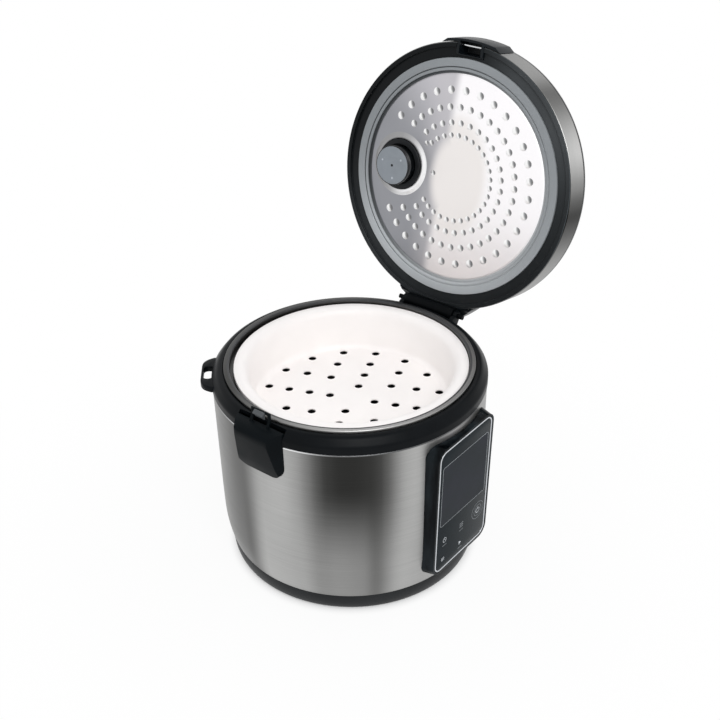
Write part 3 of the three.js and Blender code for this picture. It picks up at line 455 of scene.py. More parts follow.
steelReflectionBands = dict(
    # degrees round the body from the hinge, tone high on the wall, tone low on it, as painted reflection bands
    body=(
        (-180, 173, 178), (-173, 180, 176), (-167, 174, 172), (-161, 146, 165), (-156.5, 108, 148),
        (-152.5, 72, 144), (-148, 54, 147), (-142, 48, 144), (-136, 52, 136), (-132, 60, 116),
        (-128.5, 80, 132), (-125, 116, 158), (-121, 158, 174), (-116, 178, 174), (-110, 178, 168),
        (-95, 172, 168), (-62, 130, 132), (-35, 92, 108), (-8, 160, 162), (40, 172, 170), (84, 120, 130),
        (112, 100, 116), (140, 118, 120), (158, 106, 108), (166, 95, 104), (171, 112, 104),
        (175.5, 150, 150), (180, 173, 178),
    ),
    # degrees, and tone of the painted highlight along the rolled hem
    hem=(
        (-180, 214), (-171, 240), (-161, 236), (-154, 160), (-146, 92), (-110, 96), (-60, 130), (0, 180), (90, 150),
        (160, 190), (180, 214),
    ),
    # degrees, and tone of the painted reflection on the pot's flange
    flange=((-180, 120), (-140, 176), (-100, 150), (-40, 110), (40, 84), (120, 84), (155, 76), (180, 120)),
    # degrees round the closed lid, tone high on the band, tone low on it, as painted reflection bands
    lid=(
        (-180, 116, 116), (-175, 106, 106), (-161, 140, 136), (-149, 144, 142), (-139, 98, 98), (-127, 160, 154),
        (-114, 204, 194), (-104, 166, 160), (-97, 118, 116), (-90, 52, 52), (-84, 44, 44), (-72, 112, 112),
        (-60, 140, 138), (-35, 120, 120), (0, 100, 100), (60, 150, 150), (120, 110, 110), (160, 126, 126),
        (180, 116, 116),
    ),
)


# Steel brushed round its own axis, with soft upright bands of painted reflection whose tone changes with height.
def brushedSteelWithReflections(name, stops, levels, matrix=None, hem=None):
    shader = newMaterial(name, tone(160), 0.34, 1.0)
    place = coordinates(shader, matrix)
    parts = splitAxes(place)
    share = angleShare(parts)
    low, high = (
        angleRamp(share, [(stop[0], stop[column]) for stop in stops], (0, 0, -1), "CARDINAL")
        for column in (-1, 1)
    )
    # painted reflection: the bands' tone blends from low on the wall to high on it
    colour = mixColours(mapRange(parts[2], *levels), low, high)
    lines = noise(place, 90.0, (0.12, 0.12, 26.0), detail=6.0, roughness=0.7)
    streaks = colourRamp(lines, ((0.35, tone(90)), (0.68, tone(210))))
    colour = mixColours(0.14, colour, streaks, "OVERLAY")
    # a painted highlight along the rolled hem
    if hem:
        edge = mapRange(parts[2], hem, hem + 0.0006)
        colour = mixColours(edge, colour, angleRamp(share, steelReflectionBands["hem"], (0, 1, 2)))
    setSurface(shader, colour, lines, (0.3, 0.42))
    addBump(shader, lines, 0.00001)


def plainMetal(name, dark, light, roughness, grainScale=60.0, stretch=(1, 1, 1)):
    shader = newMaterial(name, tone(*dark), roughness[0], 1.0)
    place = coordinates(shader)
    cloud = noise(place, grainScale, stretch)
    colour = colourRamp(cloud, ((0.3, tone(*dark)), (0.7, tone(*light))))
    setSurface(shader, colour, cloud, roughness)
    addBump(shader, noise(place, grainScale * 20), 0.00001)


hinge = Vector(metres(hingeAxis[0], 0, hingeAxis[1]))
swing = Matrix.Rotation(math.radians(openAngle), 4, "Y")
openLid = Matrix.Translation(hinge) @ swing @ Matrix.Translation(-hinge)
closedLid = openLid.inverted()


# Polished plate inside the lid with painted reflections: grey on the valve's side, pale past a boundary and in a soft
# oval.
def plateReflectionSteel(name):
    shader = newMaterial(name, tone(200), 0.4, 1.0)
    place = coordinates(shader, closedLid)
    x, y, _ = splitAxes(place)
    side = mapRange(calculate("MULTIPLY_ADD", x, -0.05, y), 0.0205, 0.0085)
    oval = calculate(
        "ADD", calculate("POWER", calculate("MULTIPLY", x, 22.0), 2.0),
        calculate("POWER", calculate("MULTIPLY", y, 37.0), 2.0),
    )
    pale = calculate("MAXIMUM", side, mapRange(oval, 1.4, 0.5))
    slant = calculate("MULTIPLY_ADD", y, -0.8, calculate("MULTIPLY", x, -1.0))
    grey = mixColours(mapRange(slant, -0.03, 0.09), tone(150, 151, 156), tone(200, 198, 203))
    beside = mapRange(y, 0.05, 0.014)
    grey = mixColours(calculate("MULTIPLY", beside, 0.7), grey, tone(196, 194, 198))
    white = mixColours(mapRange(x, 0.0, 0.11), tone(252, 250, 252), tone(234, 230, 230))
    white = mixColours(mapRange(oval, 2.6, 1.2), white, tone(238, 234, 232))
    setSurface(shader, mixColours(pale, grey, white), noise(place, 9.0), (0.36, 0.44))
    addBump(shader, noise(place, 1500.0), 0.000004)


# Pressed dimples with painted light: a painted highlight on the flank that faces the valve, painted shade on the
# other.
def dimplePaintedLight(name):
    shader = newMaterial(name, tone(240), 0.4, 1.0)
    normal = addNode(shader.id_data, "TexCoord").outputs["Normal"]
    facing = addNode(shader.id_data, "VectorMath", operation="DOT_PRODUCT")
    feedAll(facing, normal, openLid.to_3x3() @ Vector((-0.45, -0.89, 0)))
    share = mapRange(facing.outputs["Value"], -0.5, 0.5, shape="LINEAR")
    stops = ((0.1, tone(250)), (0.5, tone(250)), (0.62, tone(206)), (0.78, tone(132, 133, 135)), (0.95, tone(104)))
    feed(shader.inputs["Base Color"], colourRamp(share, stops))
    addBump(shader, noise(coordinates(shader), 1500.0), 0.000004)


# Steel or plastic with soft bands of painted light and shade round the lid's axis, or round a middle across from it.
def paintedLightFinish(name, stops, tint, roughness, metallic, specular, middle=0.0):
    shader = newMaterial(name, tone(150), roughness[0], metallic, specular)
    place = coordinates(shader, closedLid)
    colour = angleRamp(angleShare(splitAxes(place), middle), stops, tint)
    setSurface(shader, colour, noise(place, 40.0), roughness)
    addBump(shader, noise(place, 1200.0), 0.00001)


lidLightBands = dict(
    # degrees round the closed lid from the hinge, and tone of the painted light and shade
    gasket=(
        (-180, 148), (-135, 140), (-90, 144), (-50, 160), (-25, 178), (-5, 184), (20, 186), (45, 188), (65, 172),
        (90, 142), (130, 137), (160, 144), (180, 148),
    ),
    ring=(
        (-180, 16), (-168, 34), (-154, 72), (-140, 60), (-125, 76), (-105, 54), (-92, 40), (-70, 28), (-45, 24),
        (0, 30), (30, 48), (60, 42), (90, 12), (130, 9), (180, 16),
    ),
    collar=(
        (-180, 158), (-150, 176), (-115, 240), (-40, 250), (-8, 232), (14, 170), (40, 154), (120, 152), (180, 158),
    ),
    # the groove's tones are painted shade, lighter on the lit side
    groove=((-180, 90), (-150, 150), (-100, 176), (-30, 190), (20, 170), (50, 110), (80, 72), (150, 70), (180, 90)),
)

# name, darker and lighter tone, range of roughness, specular level, then depth, scale and stretch of the grain
for settings in (
    ("satinBlackPlastic", (7, 10, 13), (12, 15, 18), (0.3, 0.4), 0.08),
    ("baseBlackPlastic", (26, 28, 30), (34, 36, 38), (0.34, 0.46), 0.2),
    ("lidBlackPlastic", (14, 18, 21), (21, 26, 30), (0.28, 0.38), 0.14),
    ("leverPlastic", (8, 12, 15), (12, 17, 20), (0.4, 0.5), 0.05),
    ("mattBlackPlastic", (14, 16, 18), (22, 24, 27), (0.45, 0.6), 0.25),
    ("glossBlackPlastic", (10, 12, 14), (15, 17, 19), (0.06, 0.12), 0.45, 0),
    # glossy black with soft upright painted reflections, from noise stretched upright
    ("podGlossPlastic", (5, 7, 9), (34, 40, 44), (0.06, 0.12), 0.05, 0, 0, (2.4, 2.4, 0.5)),
    # a darker black for painted shade under the hinge
    ("hingeBlackPlastic", (6, 8, 10), (9, 11, 13), (0.4, 0.5), 0.05),
    ("blackRubber", (22, 22, 24), (30, 30, 32), (0.7, 0.85), 0.2, 0.00005, 900.0),
    ("whitePlastic", (251, 247, 245), (254, 250, 248), (0.36, 0.46), 0.35),
    ("greyNosePlastic", (70, 73, 76), (82, 85, 88), (0.4, 0.5), 0.2),
    ("greyCapPlastic", (130, 136, 142), (142, 148, 155), (0.42, 0.52), 0.35),
    ("paleDotPlastic", (176, 182, 188), (186, 192, 198), (0.42, 0.52), 0.35),
    # a painted highlight for the lid ring's outer lip
    ("lidLipPlastic", (64, 70, 74), (72, 78, 82), (0.3, 0.4), 0.2),
    ("nonStickCoating", (40, 41, 43), (54, 55, 57), (0.32, 0.42), 0.4, 0.00001, 1800.0),
    ("panelGlass", (25, 32, 36), (29, 36, 40), (0.1, 0.14), 0.04, 0),
    ("displayGlass", (28, 34, 39), (32, 36, 44), (0.08, 0.12), 0.04, 0),
    ("circuitBoard", (24, 78, 50), (31, 92, 60), (0.4, 0.55), 0.4),
    ("greyPrint", (142, 146, 150), (152, 156, 160), (0.4, 0.5), 0.3, 0),
    ("faintPrint", (104, 108, 112), (112, 116, 120), (0.4, 0.5), 0.3, 0),
    ("brightPrint", (196, 200, 204), (206, 210, 214), (0.4, 0.5), 0.3, 0),
):
    mouldedPlastic(*settings)

# name, darker and lighter tone, range of roughness, then scale and stretch of the grain
for settings in (
    ("satinSilver", (196, 200, 204), (212, 215, 219), (0.28, 0.36)),
    ("polishedSteel", (205, 207, 208), (216, 218, 219), (0.1, 0.16)),
    ("springSteel", (135, 138, 142), (158, 160, 163), (0.28, 0.38)),
    ("castAluminium", (168, 170, 172), (186, 188, 190), (0.4, 0.5), 240.0),
    ("linerSteel", (150, 151, 152), (170, 171, 172), (0.3, 0.4), 90.0, (0.1, 0.1, 14)),
    ("bladeBrass", (176, 140, 74), (196, 160, 92), (0.25, 0.35)),
):
    plainMetal(*settings)

# the body's steel gets painted reflection bands and a painted highlight on its hem
brushedSteelWithReflections("brushedBodySteel", steelReflectionBands["body"], (0.050, 0.158), hem=0.1930)
# the pot's flange gets painted reflection bands
brushedSteelWithReflections("bareFlangeSteel", steelReflectionBands["flange"], (0.2, 0.214))
# the lid's steel band gets painted reflection bands
brushedSteelWithReflections("brushedLidBand", steelReflectionBands["lid"], (0.214, 0.240), closedLid)
# the plate inside the lid gets painted reflections
plateReflectionSteel("polishedPlateSteel")
dimplePaintedLight("dimplePaintedLight")
# the valve collar gets a painted highlight, bright toward one side
paintedLightFinish("collarSteel", lidLightBands["collar"], (0, 0, 1), (0.34, 0.42), 1.0, 0.5, valveSpot[1] / 1000)
# the gasket gets a painted sheen, lighter and darker round the lid
paintedLightFinish("gasketSilicone", lidLightBands["gasket"], (-3, 1, 4), (0.4, 0.5), 0.0, 0.3)
# the lid ring gets a painted reflection, lighter on one side
paintedLightFinish("lidRingPlastic", lidLightBands["ring"], (-2, 1, 3), (0.3, 0.4), 0.0, 0.12)
# painted shade for the grooves between gasket and plate
paintedLightFinish("paintedGrooveShade", lidLightBands["groove"], (-2, 1, 3), (0.4, 0.5), 0.0, 0.3)
print("finishes made")


# Camera, lamps and floor

eye = dict(position=(-762, -624.3, 824.9), target=(6.7, -7.7, 210.8), lens=59.25, roll=-1.0)
deselectAll()
bpy.ops.object.camera_add(location=metres(*eye["position"]))
camera = bpy.context.object
aim = Vector(metres(*eye["target"])) - camera.location
turn = aim.to_track_quat("-Z", "Y").to_matrix() @ Matrix.Rotation(math.radians(eye["roll"]), 3, "Z")
camera.rotation_euler = turn.to_euler()
camera.data.lens = eye["lens"]
camera.data.clip_end = 20
bpy.context.scene.camera = camera
bpy.context.scene.view_settings.view_transform = "Standard"


def addLamp(name, position, target, size, power, seenInGloss=True):
    deselectAll()
    bpy.ops.object.light_add(type="AREA", location=metres(*position))
    lamp = bpy.context.object
    lamp.name = name
    lamp.data.shape = "DISK"
    lamp.data.size = size / 1000
    lamp.data.energy = power
    lamp.visible_glossy = seenInGloss
    lamp.rotation_euler = (Vector(metres(*target)) - lamp.location).to_track_quat("-Z", "Y").to_euler()


addLamp("keyLamp", (-900, -1100, 1700), (0, 0, 200), 1100, 17)
addLamp("fillLamp", (1300, -1200, 1100), (0, 0, 220), 1500, 5, seenInGloss=False)
addLamp("backLamp", (500, 1500, 1400), (0, 0, 250), 1400, 5, seenInGloss=False)


# Whether a ray comes from the camera or off a glossy surface, with the light path's outputs.
def seenDirectly(tree):
    rays = addNode(tree, "LightPath").outputs
    return calculate("MAXIMUM", rays["Is Camera Ray"], rays["Is Glossy Ray"]), rays


def mixShaders(share, first, second, target):
    choice = addNode(share.id_data, "MixShader")
    feed(target, feedAll(choice, share, first.outputs[0], second.outputs[0]))


world = bpy.data.worlds.new("studio")
bpy.context.scene.world = world
world.use_nodes = True
tree = world.node_tree
tree.nodes.clear()
seen, rays = seenDirectly(tree)
mixShaders(
    calculate("MAXIMUM", seen, rays["Is Transmission Ray"]),
    addNode(tree, "Background", Color=(0.97, 0.985, 1, 1), Strength=0.62),
    addNode(tree, "Background", Color=(1, 1, 1, 1), Strength=1.0), addNode(tree, "OutputWorld").inputs[0],
)

floorSize = 9000
floor = turned("floor", [(floorSize, -0.3), (floorSize, -12)], sides=64)
shader = newMaterial("paleFloor", tone(246), 0.9, 0.0, 0.0)
tree = shader.id_data
seen, rays = seenDirectly(tree)
around = addNode(tree, "VectorMath", operation="LENGTH")
feedAll(around, coordinates(shader))
distance = around.outputs["Value"]
near = mapRange(distance, 0.116, 0.134, 0.15, 0.92)
bright = calculate("ADD", near, mapRange(distance, 0.134, 0.5, 0.0, 0.08))
mixShaders(
    calculate("MULTIPLY", seen, bright), shader,
    addNode(tree, "Emission", Color=(1, 1, 1, 1), Strength=1.0), tree.nodes["Material Output"].inputs[0],
)
floor.data.materials.append(finishes["paleFloor"])
print("camera, lamps and floor set")


# Base ring, feet and screws

base = dict(
    radius=126.8, tuck=5.3, under=3.4, skirt=0.8, height=18.9, wall=2.6, floor=6, lipRadius=125.6, lipHeight=6,
    slots=8, slotReach=(42, 62), slotHalf=1.6, screwCircle=85, screwSink=4.3, footCircle=100,
)
radius, height, bend = base["radius"], base["height"], base["height"] - 6
lipOuter, lipInner, lipTop = base["lipRadius"], base["lipRadius"] - 2, height + base["lipHeight"]
baseCover = turned("baseRing", [
    (110.8, base["under"]), (112.6, base["skirt"] + 0.3),
    *quarter((radius - base["tuck"], base["skirt"]), (radius, bend), 10),
    (radius, height), (lipOuter, height), (lipOuter, lipTop), (lipInner, lipTop), (lipInner, height - 3),
    *quarter((radius - base["tuck"] - 3, base["floor"]), (radius - base["wall"], bend))[::-1],
], 144)
footSpots = [
    (base["footCircle"] * math.cos(math.pi / 2 * index), base["footCircle"] * math.sin(math.pi / 2 * index))
    for index in range(4)
]
tools = []
slotHalf = base["slotHalf"]
for index in range(base["slots"]):
    slot = block("slotTool", base["slotReach"], (-slotHalf, slotHalf), (0, 10))
    tools.append(place(slot, aroundZ(360 / base["slots"] * (index + 0.5))))
for index, spot in enumerate(footSpots):
    tools.append(rod("footHole", 3.4, 0, 8, spot, 24))
    screwHole = rod("screwHole", base["screwSink"], 0, 6.8, (base["screwCircle"], 0), 32)
    tools.append(place(screwHole, aroundZ(45 + 90 * index)))
cutAway(baseCover, joinPieces("baseTools", tools))
roundEdges(baseCover, 0.5, 2, 50)
smooth(baseCover)
bossProfile = [(5, 5.9), (5, 39.6), (2, 39.6), (2, 6.9), (4.3, 6.9), (4.3, 5.9)]
bosses = [
    place(turned("boss", bossProfile, 32, (base["screwCircle"], 0), ring=True), aroundZ(45 + 90 * index))
    for index in range(4)
]
baseCover = joinPieces("baseRing", [baseCover, *bosses])
dress(baseCover, 0, "baseBlackPlastic", "base", "black_plastic", "base_cover")

for index, spot in enumerate(footSpots, 1):
    foot = turned("foot%d" % index, [
        (6.4, 0.5), (6.9, 0), (8, 0), (8.7, 0.3), (9, 1), (9, 2.8), (8.8, 3), (3, 3), (3, 6.8), (2.8, 7),
    ], 48, spot)
    dress(foot, 40, "blackRubber", "base", "black_rubber", "foot_%d" % index)
    dressNode("base_screw_%d" % index, "springSteel")
print("base made")


# Steel shell: a wrapped band with a rolled hem along its top edge

shell = dict(
    radius=135, top=194.6, wall=0.8, hem=1.6, latchHalf=28.2, latchFloor=156.6, latchCorner=14.4,
    curve=((127, 19.3), (128, 22.5), (129, 26), (130.3, 31.5), (131.5, 38), (132.4, 45), (133, 54), (133.6, 80)),
)
radius, top, hem = shell["radius"], shell["top"], shell["top"] - shell["hem"]
bodyShell = turned("steelShell", [
    *shell["curve"], (radius - 0.02, hem), (radius, hem + 0.3), (radius, top - 0.4), (radius - 0.4, top),
    (radius - shell["wall"], top), *[(reach - shell["wall"], level) for reach, level in shell["curve"][::-1]],
], ring=True)
latchHole = roundedOutline(2 * shell["latchHalf"], 102, shell["latchCorner"], (0, shell["latchFloor"] + 51), 10)
cutAway(
    bodyShell,
    place(plate("latchTool", [latchHole], -165, -112, 0), alongX),
    sidePlate("boardTool", [roundedOutline(80, 128, 4, (0, 109))], -165, -112, 0.1),
    sidePlate("inletTool", [roundedOutline(27.8, 20.3, 2, (0, 46))], 112, 140, 0.1),
)
dress(bodyShell, 25, "brushedBodySteel", "base", "brushed_steel", "body_shell")
print("steel shell made")


# Upper rim with its crown, the spoon holder, and the two hinge knuckles

rim = dict(
    radius=135.6, foot=195, shoulder=201.9, holderAngle=131, holderTip=145.6, holderTop=203.5, holderThickness=6.5,
    slotLength=22, slotWidth=9.3, knuckleRadius=4.8, knuckleNear=29.9, knuckleFar=34.5, pinBore=2.9, barrelRoom=7.8,
)
upperRim = turned("upperRim", [
    (rim["radius"] - 0.4, rim["foot"]), (rim["radius"], rim["foot"] + 0.4), (rim["radius"], rim["shoulder"] - 0.5),
    *bezier((135.55, 202.1), (135.3, 203.2), (134.9, 203.9), (134.2, 204.8), 3),
    *bezier((131.6, 208), (130.6, 209.3), (129, 210.9), (126.6, 210.9), 7),
    *bezier((124.9, 210.9), (124.3, 210.9), (124.1, 210.6), (124.1, 210.2), 3),
    (124.1, 209), (120.6, 209), (120, 208.4), (120, 199.8), (116.8, 199.8), (116.8, 197.6), (122.5, 197.6),
    (122.5, 206.7), (128.6, 206.7), (131.6, 203.1), (131.6, 185.6), (133.8, 185.6), (133.8, 195),
], ring=True)

tip = rim["holderTip"]
outline = [
    (131.6, -27), (134.6, -27), *bezier((134.6, -27), (139.6, -24.6), (tip, -21.6), (tip, -12), 12)[1:],
    *bezier((tip, 12), (tip, 21.6), (139.6, 24.6), (134.6, 27), 12), (131.6, 27),
]
slotMiddle = tip - 2.2 - rim["slotWidth"] / 2
spoonSlot = roundedOutline(rim["slotWidth"], rim["slotLength"], 4.2, (slotMiddle, 0))
holderTop = rim["holderTop"]
holder = plate("spoonHolder", [outline, spoonSlot], holderTop - rim["holderThickness"], holderTop, 0.9)
place(holder, aroundZ(rim["holderAngle"]))
cutAway(holder, rod("holderTool", 133.2, 180, 220))

web = [(126.5, 198.2), (135.5, 197.6), (141.2, 205.8), hingeAxis, (131.4, 210.95), (126.5, 208.5)]
knuckles = []
for side in (-1, 1):
    near, far = sorted((side * rim["knuckleNear"], side * rim["knuckleFar"]))
    knuckle = sidePlate("knuckleWeb", [web], near, far)
    barrel = rodAlongY("knuckleBarrel", rim["knuckleRadius"], near, far)
    knuckles.append(unite(knuckle, roundEdges(barrel, 0.8, 3, 60)))
reach = rim["knuckleNear"]
saddle = rodAlongY("saddle", 9.8, -reach, reach)
keep = turned("saddleTool", [(121, 195), (134.6, 195), (134.6, 202), (129.6, 209), (121, 209)], 96)
boolean(saddle, keep, "INTERSECT")
unite(upperRim, holder, *knuckles, saddle)
cutAway(
    upperRim,
    rodAlongY("barrelTool", rim["barrelRoom"], -reach, reach), rodAlongY("pinTool", rim["pinBore"], -42, 42, sides=32),
    block("latchTool", (-165, -125.6), (-shell["latchHalf"], shell["latchHalf"]), (145, 216)),
)
dress(upperRim, 28, "satinBlackPlastic", "base", "black_plastic", "upper_rim")

earShape = [(-123.9, 162.4), (-123.9, 198.6), (-130.1, 198.6), (-130.1, 162.4)]
ears = [sidePlate("latchEar", [earShape], near, near + 3.2, 0.5) for near in (29.8, -33)]
dress(joinPieces("latchEars", ears), 30, "satinBlackPlastic", "base", "black_plastic")
print("rim made")


# Heating parts under the pot, seen only with the pot out

for finish, names in (
    ("linerSteel", ("liner",)), ("castAluminium", ("heating_plate", "sensor_cup")),
    # the hinge pin takes the painted shade, so its end shows no highlight
    ("springSteel", ("sensor_clip", "latch_pin", "latch_spring", "lid_spring")), ("hingeBlackPlastic", ("hinge_pin",)),
    ("circuitBoard", ("panel_board",)), ("mattBlackPlastic", ("display_module",)),
    ("bladeBrass", ("inlet_blade_live", "inlet_blade_earth", "inlet_blade_neutral")),
):
    for name in names:
        dressNode(name, finish)

# the spring under the sensor cup, on a mesh of its own
coil = bpy.data.objects.new("sensorSpring", nodes["sensor_spring"].data.copy())
bpy.context.scene.collection.objects.link(coil)
tidyMesh(coil)
dress(coil, 60, "springSteel", "base", "plain_steel", "sensor_spring")
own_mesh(coil)


# Inner pot: coated inside, with a bare rolled flange

pot = dict(radius=112, wall=1.6, foot=60, corner=20, coatEdge=119.8)
outer, floorTop = pot["radius"] + pot["wall"], pot["foot"] + pot["wall"]
reach = pot["corner"] + pot["wall"]
innerPot = turned("innerPot", [
    *quarter((outer - reach, pot["foot"]), (outer, pot["foot"] + reach), 12),
    (outer, 202.4), (outer + 1.6, 204), (119.2, 204.6), (119.2, 209.4), (122.1, 209.4),
    *bezier((122.1, 209.4), (123.3, 209.4), (123.3, 209.8), (123.3, 210.6), 4)[1:],
    *bezier((123.3, 212.2), (123.3, 213), (122.9, 213.4), (122.1, 213.4), 4), (pot["coatEdge"], 213.4),
    *bezier((118.8, 213.4), (118, 213.4), (117.6, 213), (117.6, 212.2), 4),
    (117.6, 205.6), (112.4, 205.1), (112, 204.6),
    *quarter((pot["radius"] - pot["corner"], floorTop), (pot["radius"], floorTop + pot["corner"]), 12)[::-1],
])
dress(innerPot, 35, "nonStickCoating", "pot", "non_stick", "inner_pot")
paintFaces(innerPot, "bareFlangeSteel", lambda spot: (
    spot.z > 204.8 and (fromAxis(spot) > pot["coatEdge"] - 0.3 or spot.z < 212)
))
print("pot made")


# Steamer basket: a white bowl with a wide, softly rounded lip and drain holes in its floor

basket = dict(
    radius=109.2, seat=206, top=210.2, lip=6, wall=1.4, taper=10, corner=6, floorTop=166.5,
    shift=1.6, side=-51, holeRadius=4.1, armPitch=21.6, armStart=23.2, turn=22,
    between=((32, 32), (33, 58), (58, 33), (33.5, 81.5), (81.5, 33.5), (62, 62)),
)
side = math.radians(basket["side"])
middle = basket["shift"] * math.cos(side), basket["shift"] * math.sin(side)
floorRadius, floorTop, top = basket["radius"] - basket["taper"], basket["floorTop"], basket["top"]
under, corner, seat = floorTop - basket["wall"], basket["corner"], basket["seat"]
lipRadius, innerRadius = basket["radius"] + basket["lip"], floorRadius - basket["wall"]
steamer = turned("steamerBasket", [
    *quarter((floorRadius - corner, under), (floorRadius, under + corner)),
    (basket["radius"], seat), (lipRadius - 0.4, seat), (lipRadius, seat + 0.4),
    *bezier((lipRadius, top - 0.8), (lipRadius, top - 0.2), (lipRadius - 0.3, top), (lipRadius - 0.7, top), 4),
    *bezier((lipRadius - 1, top), (109, top + 0.9), (101.8, top + 1.6), (100.4, top - 9), 14),
    *quarter((innerRadius - corner, floorTop), (innerRadius, floorTop + corner))[::-1],
], at=middle)
spots = [(basket["armStart"] + basket["armPitch"] * index, 0) for index in range(4)] + list(basket["between"])
hole = basket["holeRadius"]
drill = turned("drill", [
    (hole + 0.8, floorTop + 0.5), (hole, floorTop - 0.3), (hole, under - 0.4), (hole + 0.3, under - 1.4),
], 24)
turns = [moved(*middle) @ aroundZ(basket["turn"] + 90 * quadrant) for quadrant in range(4)]
drills = [copyOf(drill, turn @ moved(x, y)) for turn in turns for x, y in spots]
bpy.data.objects.remove(drill)
cutAway(steamer, joinPieces("drills", drills))
dress(steamer, 35, "whitePlastic", "basket", "white_plastic", "steamer_basket")
print("basket made")


# Control pod: a glossy flared housing, a silver trim, and one glass face with printed marks.
# Its outlines are centred on the pod; zero height is the front plane.

pod = dict(
    width=92, height=152, corner=12.5, depth=16, flareWide=4.5, flareTall=6, middle=109, front=-137.87, lean=1.6,
    trimInset=3, trimWidth=1.6, faceThickness=1.6, gap=0.4, display=(75.6, 71.5), displayMiddle=(0, 19.5),
)
podPlace = moved(0, pod["front"], pod["middle"]) @ Matrix.Rotation(math.radians(pod["lean"]), 4, "X") @ upright


def podPlate(name, outlines, bottom, top, edge):
    return place(plate(name, outlines, bottom, top, edge), podPlace)


# An outline of the pod's front, drawn in by some millimetres on every side.
def podOutline(inset, corner):
    return roundedOutline(pod["width"] - 2 * inset, pod["height"] - 2 * inset, corner, steps=12)


housing = plate("podHousing", [podOutline(0, pod["corner"])], -1, 0, 0)
editAll(housing)
bpy.ops.mesh.select_all(action="DESELECT")
setMode("OBJECT")
for face in housing.data.polygons:
    face.select = face.normal.z < -0.9
setMode("EDIT")
bpy.ops.mesh.select_mode(type="FACE")
bpy.ops.mesh.extrude_region_move(TRANSFORM_OT_translate={"value": metres(0, 0, 1 - pod["depth"])})
bpy.ops.transform.resize(
    value=(1 + pod["flareWide"] / pod["width"], 1 + pod["flareTall"] / pod["height"], 1),
    center_override=metres(0, 0, -pod["depth"]),
)
bpy.ops.mesh.select_mode(type="VERT")
setMode("OBJECT")
inset, corner = pod["trimInset"], pod["corner"] - pod["trimInset"]
cutAway(housing, plate("recessTool", [podOutline(inset - 0.4, corner)], -2, 6, 0))
roundEdges(housing, 0.8, 4, 50)
cutAway(housing, plate("windowTool", [roundedOutline(76.8, 120, 3)], -40, 6, 0))
place(housing, podPlace)
cutAway(housing, turned("podTool", [(reach + 0.3, level) for reach, level in shell["curve"]] + [(135.6, 215)]))
# the housing's lighter upright streaks are painted reflections
dress(housing, 35, "podGlossPlastic", "base", "gloss_black", "panel_housing")

thick, trimCorner = pod["faceThickness"], corner - pod["trimWidth"]
trimEdges = [podOutline(inset, corner), podOutline(inset + pod["trimWidth"], trimCorner)]
trim = podPlate("podTrim", trimEdges, -thick, 0, 0.35)
dress(trim, 40, "satinSilver", "base", "silver_trim", "panel_trim")

face = podPlate("podFace", [podOutline(inset + pod["trimWidth"] + pod["gap"], trimCorner)], -thick, -0.1, 0.3)
dress(face, 40, "panelGlass", "base", "panel_glass", "panel_face")

width, height = pod["display"]
displayEdge = roundedOutline(width - 1, height - 1, 2, pod["displayMiddle"])
display = podPlate("displayGlass", [displayEdge], -0.3, -0.05, 0.02)
dress(display, 0, "displayGlass", "base", "display_glass")
lineEdge = roundedOutline(width, height, 2.5, pod["displayMiddle"])
displayLine = podPlate("displayLine", [lineEdge, displayEdge], -0.3, -0.02, 0.02)
dress(displayLine, 0, "greyPrint", "base", "grey_plastic")


def arcPoints(radius, middle, start, end, steps=24):
    turns = [math.radians(start + (end - start) * step / steps) for step in range(steps + 1)]
    return [(middle[0] + radius * math.cos(turn), middle[1] + radius * math.sin(turn)) for turn in turns]


def ringOutlines(radius, width, middle):
    return [arcPoints(reach, middle, 0, 360, 48)[:-1] for reach in (radius, radius - width)]


# A line of even width along points, as one closed outline.
def stroke(points, width):
    ahead, behind = [], []
    for index, (x, y) in enumerate(points):
        before = points[max(index - 1, 0)]
        after = points[min(index + 1, len(points) - 1)]
        along = Vector((after[0] - before[0], after[1] - before[1])).normalized() * width / 2
        ahead.append((x - along.y, y + along.x))
        behind.append((x + along.y, y - along.x))
    return [ahead + behind[::-1]]


# touch marks below the display; places are from the pod's middle
marks = dict(power=(28.4, -36.5), menu=(0, -36.7), timer=(-28.6, -36.7), keep=(-30.2, -60.3), start=(-0.8, -58.9))
px, py = marks["power"]
mx, my = marks["menu"]
tx, ty = marks["timer"]
kx, ky = marks["keep"]
sx, sy = marks["start"]
printed = [
    ("powerRing", ringOutlines(10.2, 0.6, marks["power"]), "faintPrint"),
    ("powerInner", ringOutlines(6.6, 0.6, marks["power"]), "faintPrint"),
    ("powerArc", stroke(arcPoints(3, marks["power"], 125, 415), 0.7), "brightPrint"),
    ("powerBar", stroke([(px, py + 1), (px, py + 4.2)], 0.7), "brightPrint"),
]
for index in range(3):
    level = my + 2.2 - 2.2 * index
    printed.append(("menuBar%d" % (index + 1), stroke([(mx - 3, level), (mx + 3, level)], 0.6), "greyPrint"))
printed += [
    ("timerRing", ringOutlines(2.9, 0.55, marks["timer"]), "brightPrint"),
    ("timerHands", stroke([(tx, ty + 1.8), (tx, ty), (tx + 1.4, ty - 0.7)], 0.5), "brightPrint"),
]
for index in range(3):
    left = kx + 1.8 * (index - 1)
    wave = [(left + 0.45 * math.sin(step), ky - 2.2 + 0.36 * step) for step in range(13)]
    printed.append(("warmWave%d" % (index + 1), stroke(wave, 0.5), "brightPrint"))
printed.append(("startMark", [[(sx - 1.8, sy - 2.2), (sx + 2.2, sy), (sx - 1.8, sy + 2.2)]], "brightPrint"))
for index, (x, y) in enumerate((marks["timer"], marks["menu"], marks["start"])):
    printed.append(("underBar%d" % (index + 1), stroke([(x - 3.4, y - 6.4), (x + 3.4, y - 6.4)], 0.8), "faintPrint"))
for name, outlines, finish in printed:
    dress(podPlate(name, outlines, -0.3, -0.03, 0.02), 0, finish, "base", "grey_plastic")
print("control pod made")


# Mains inlet in the back

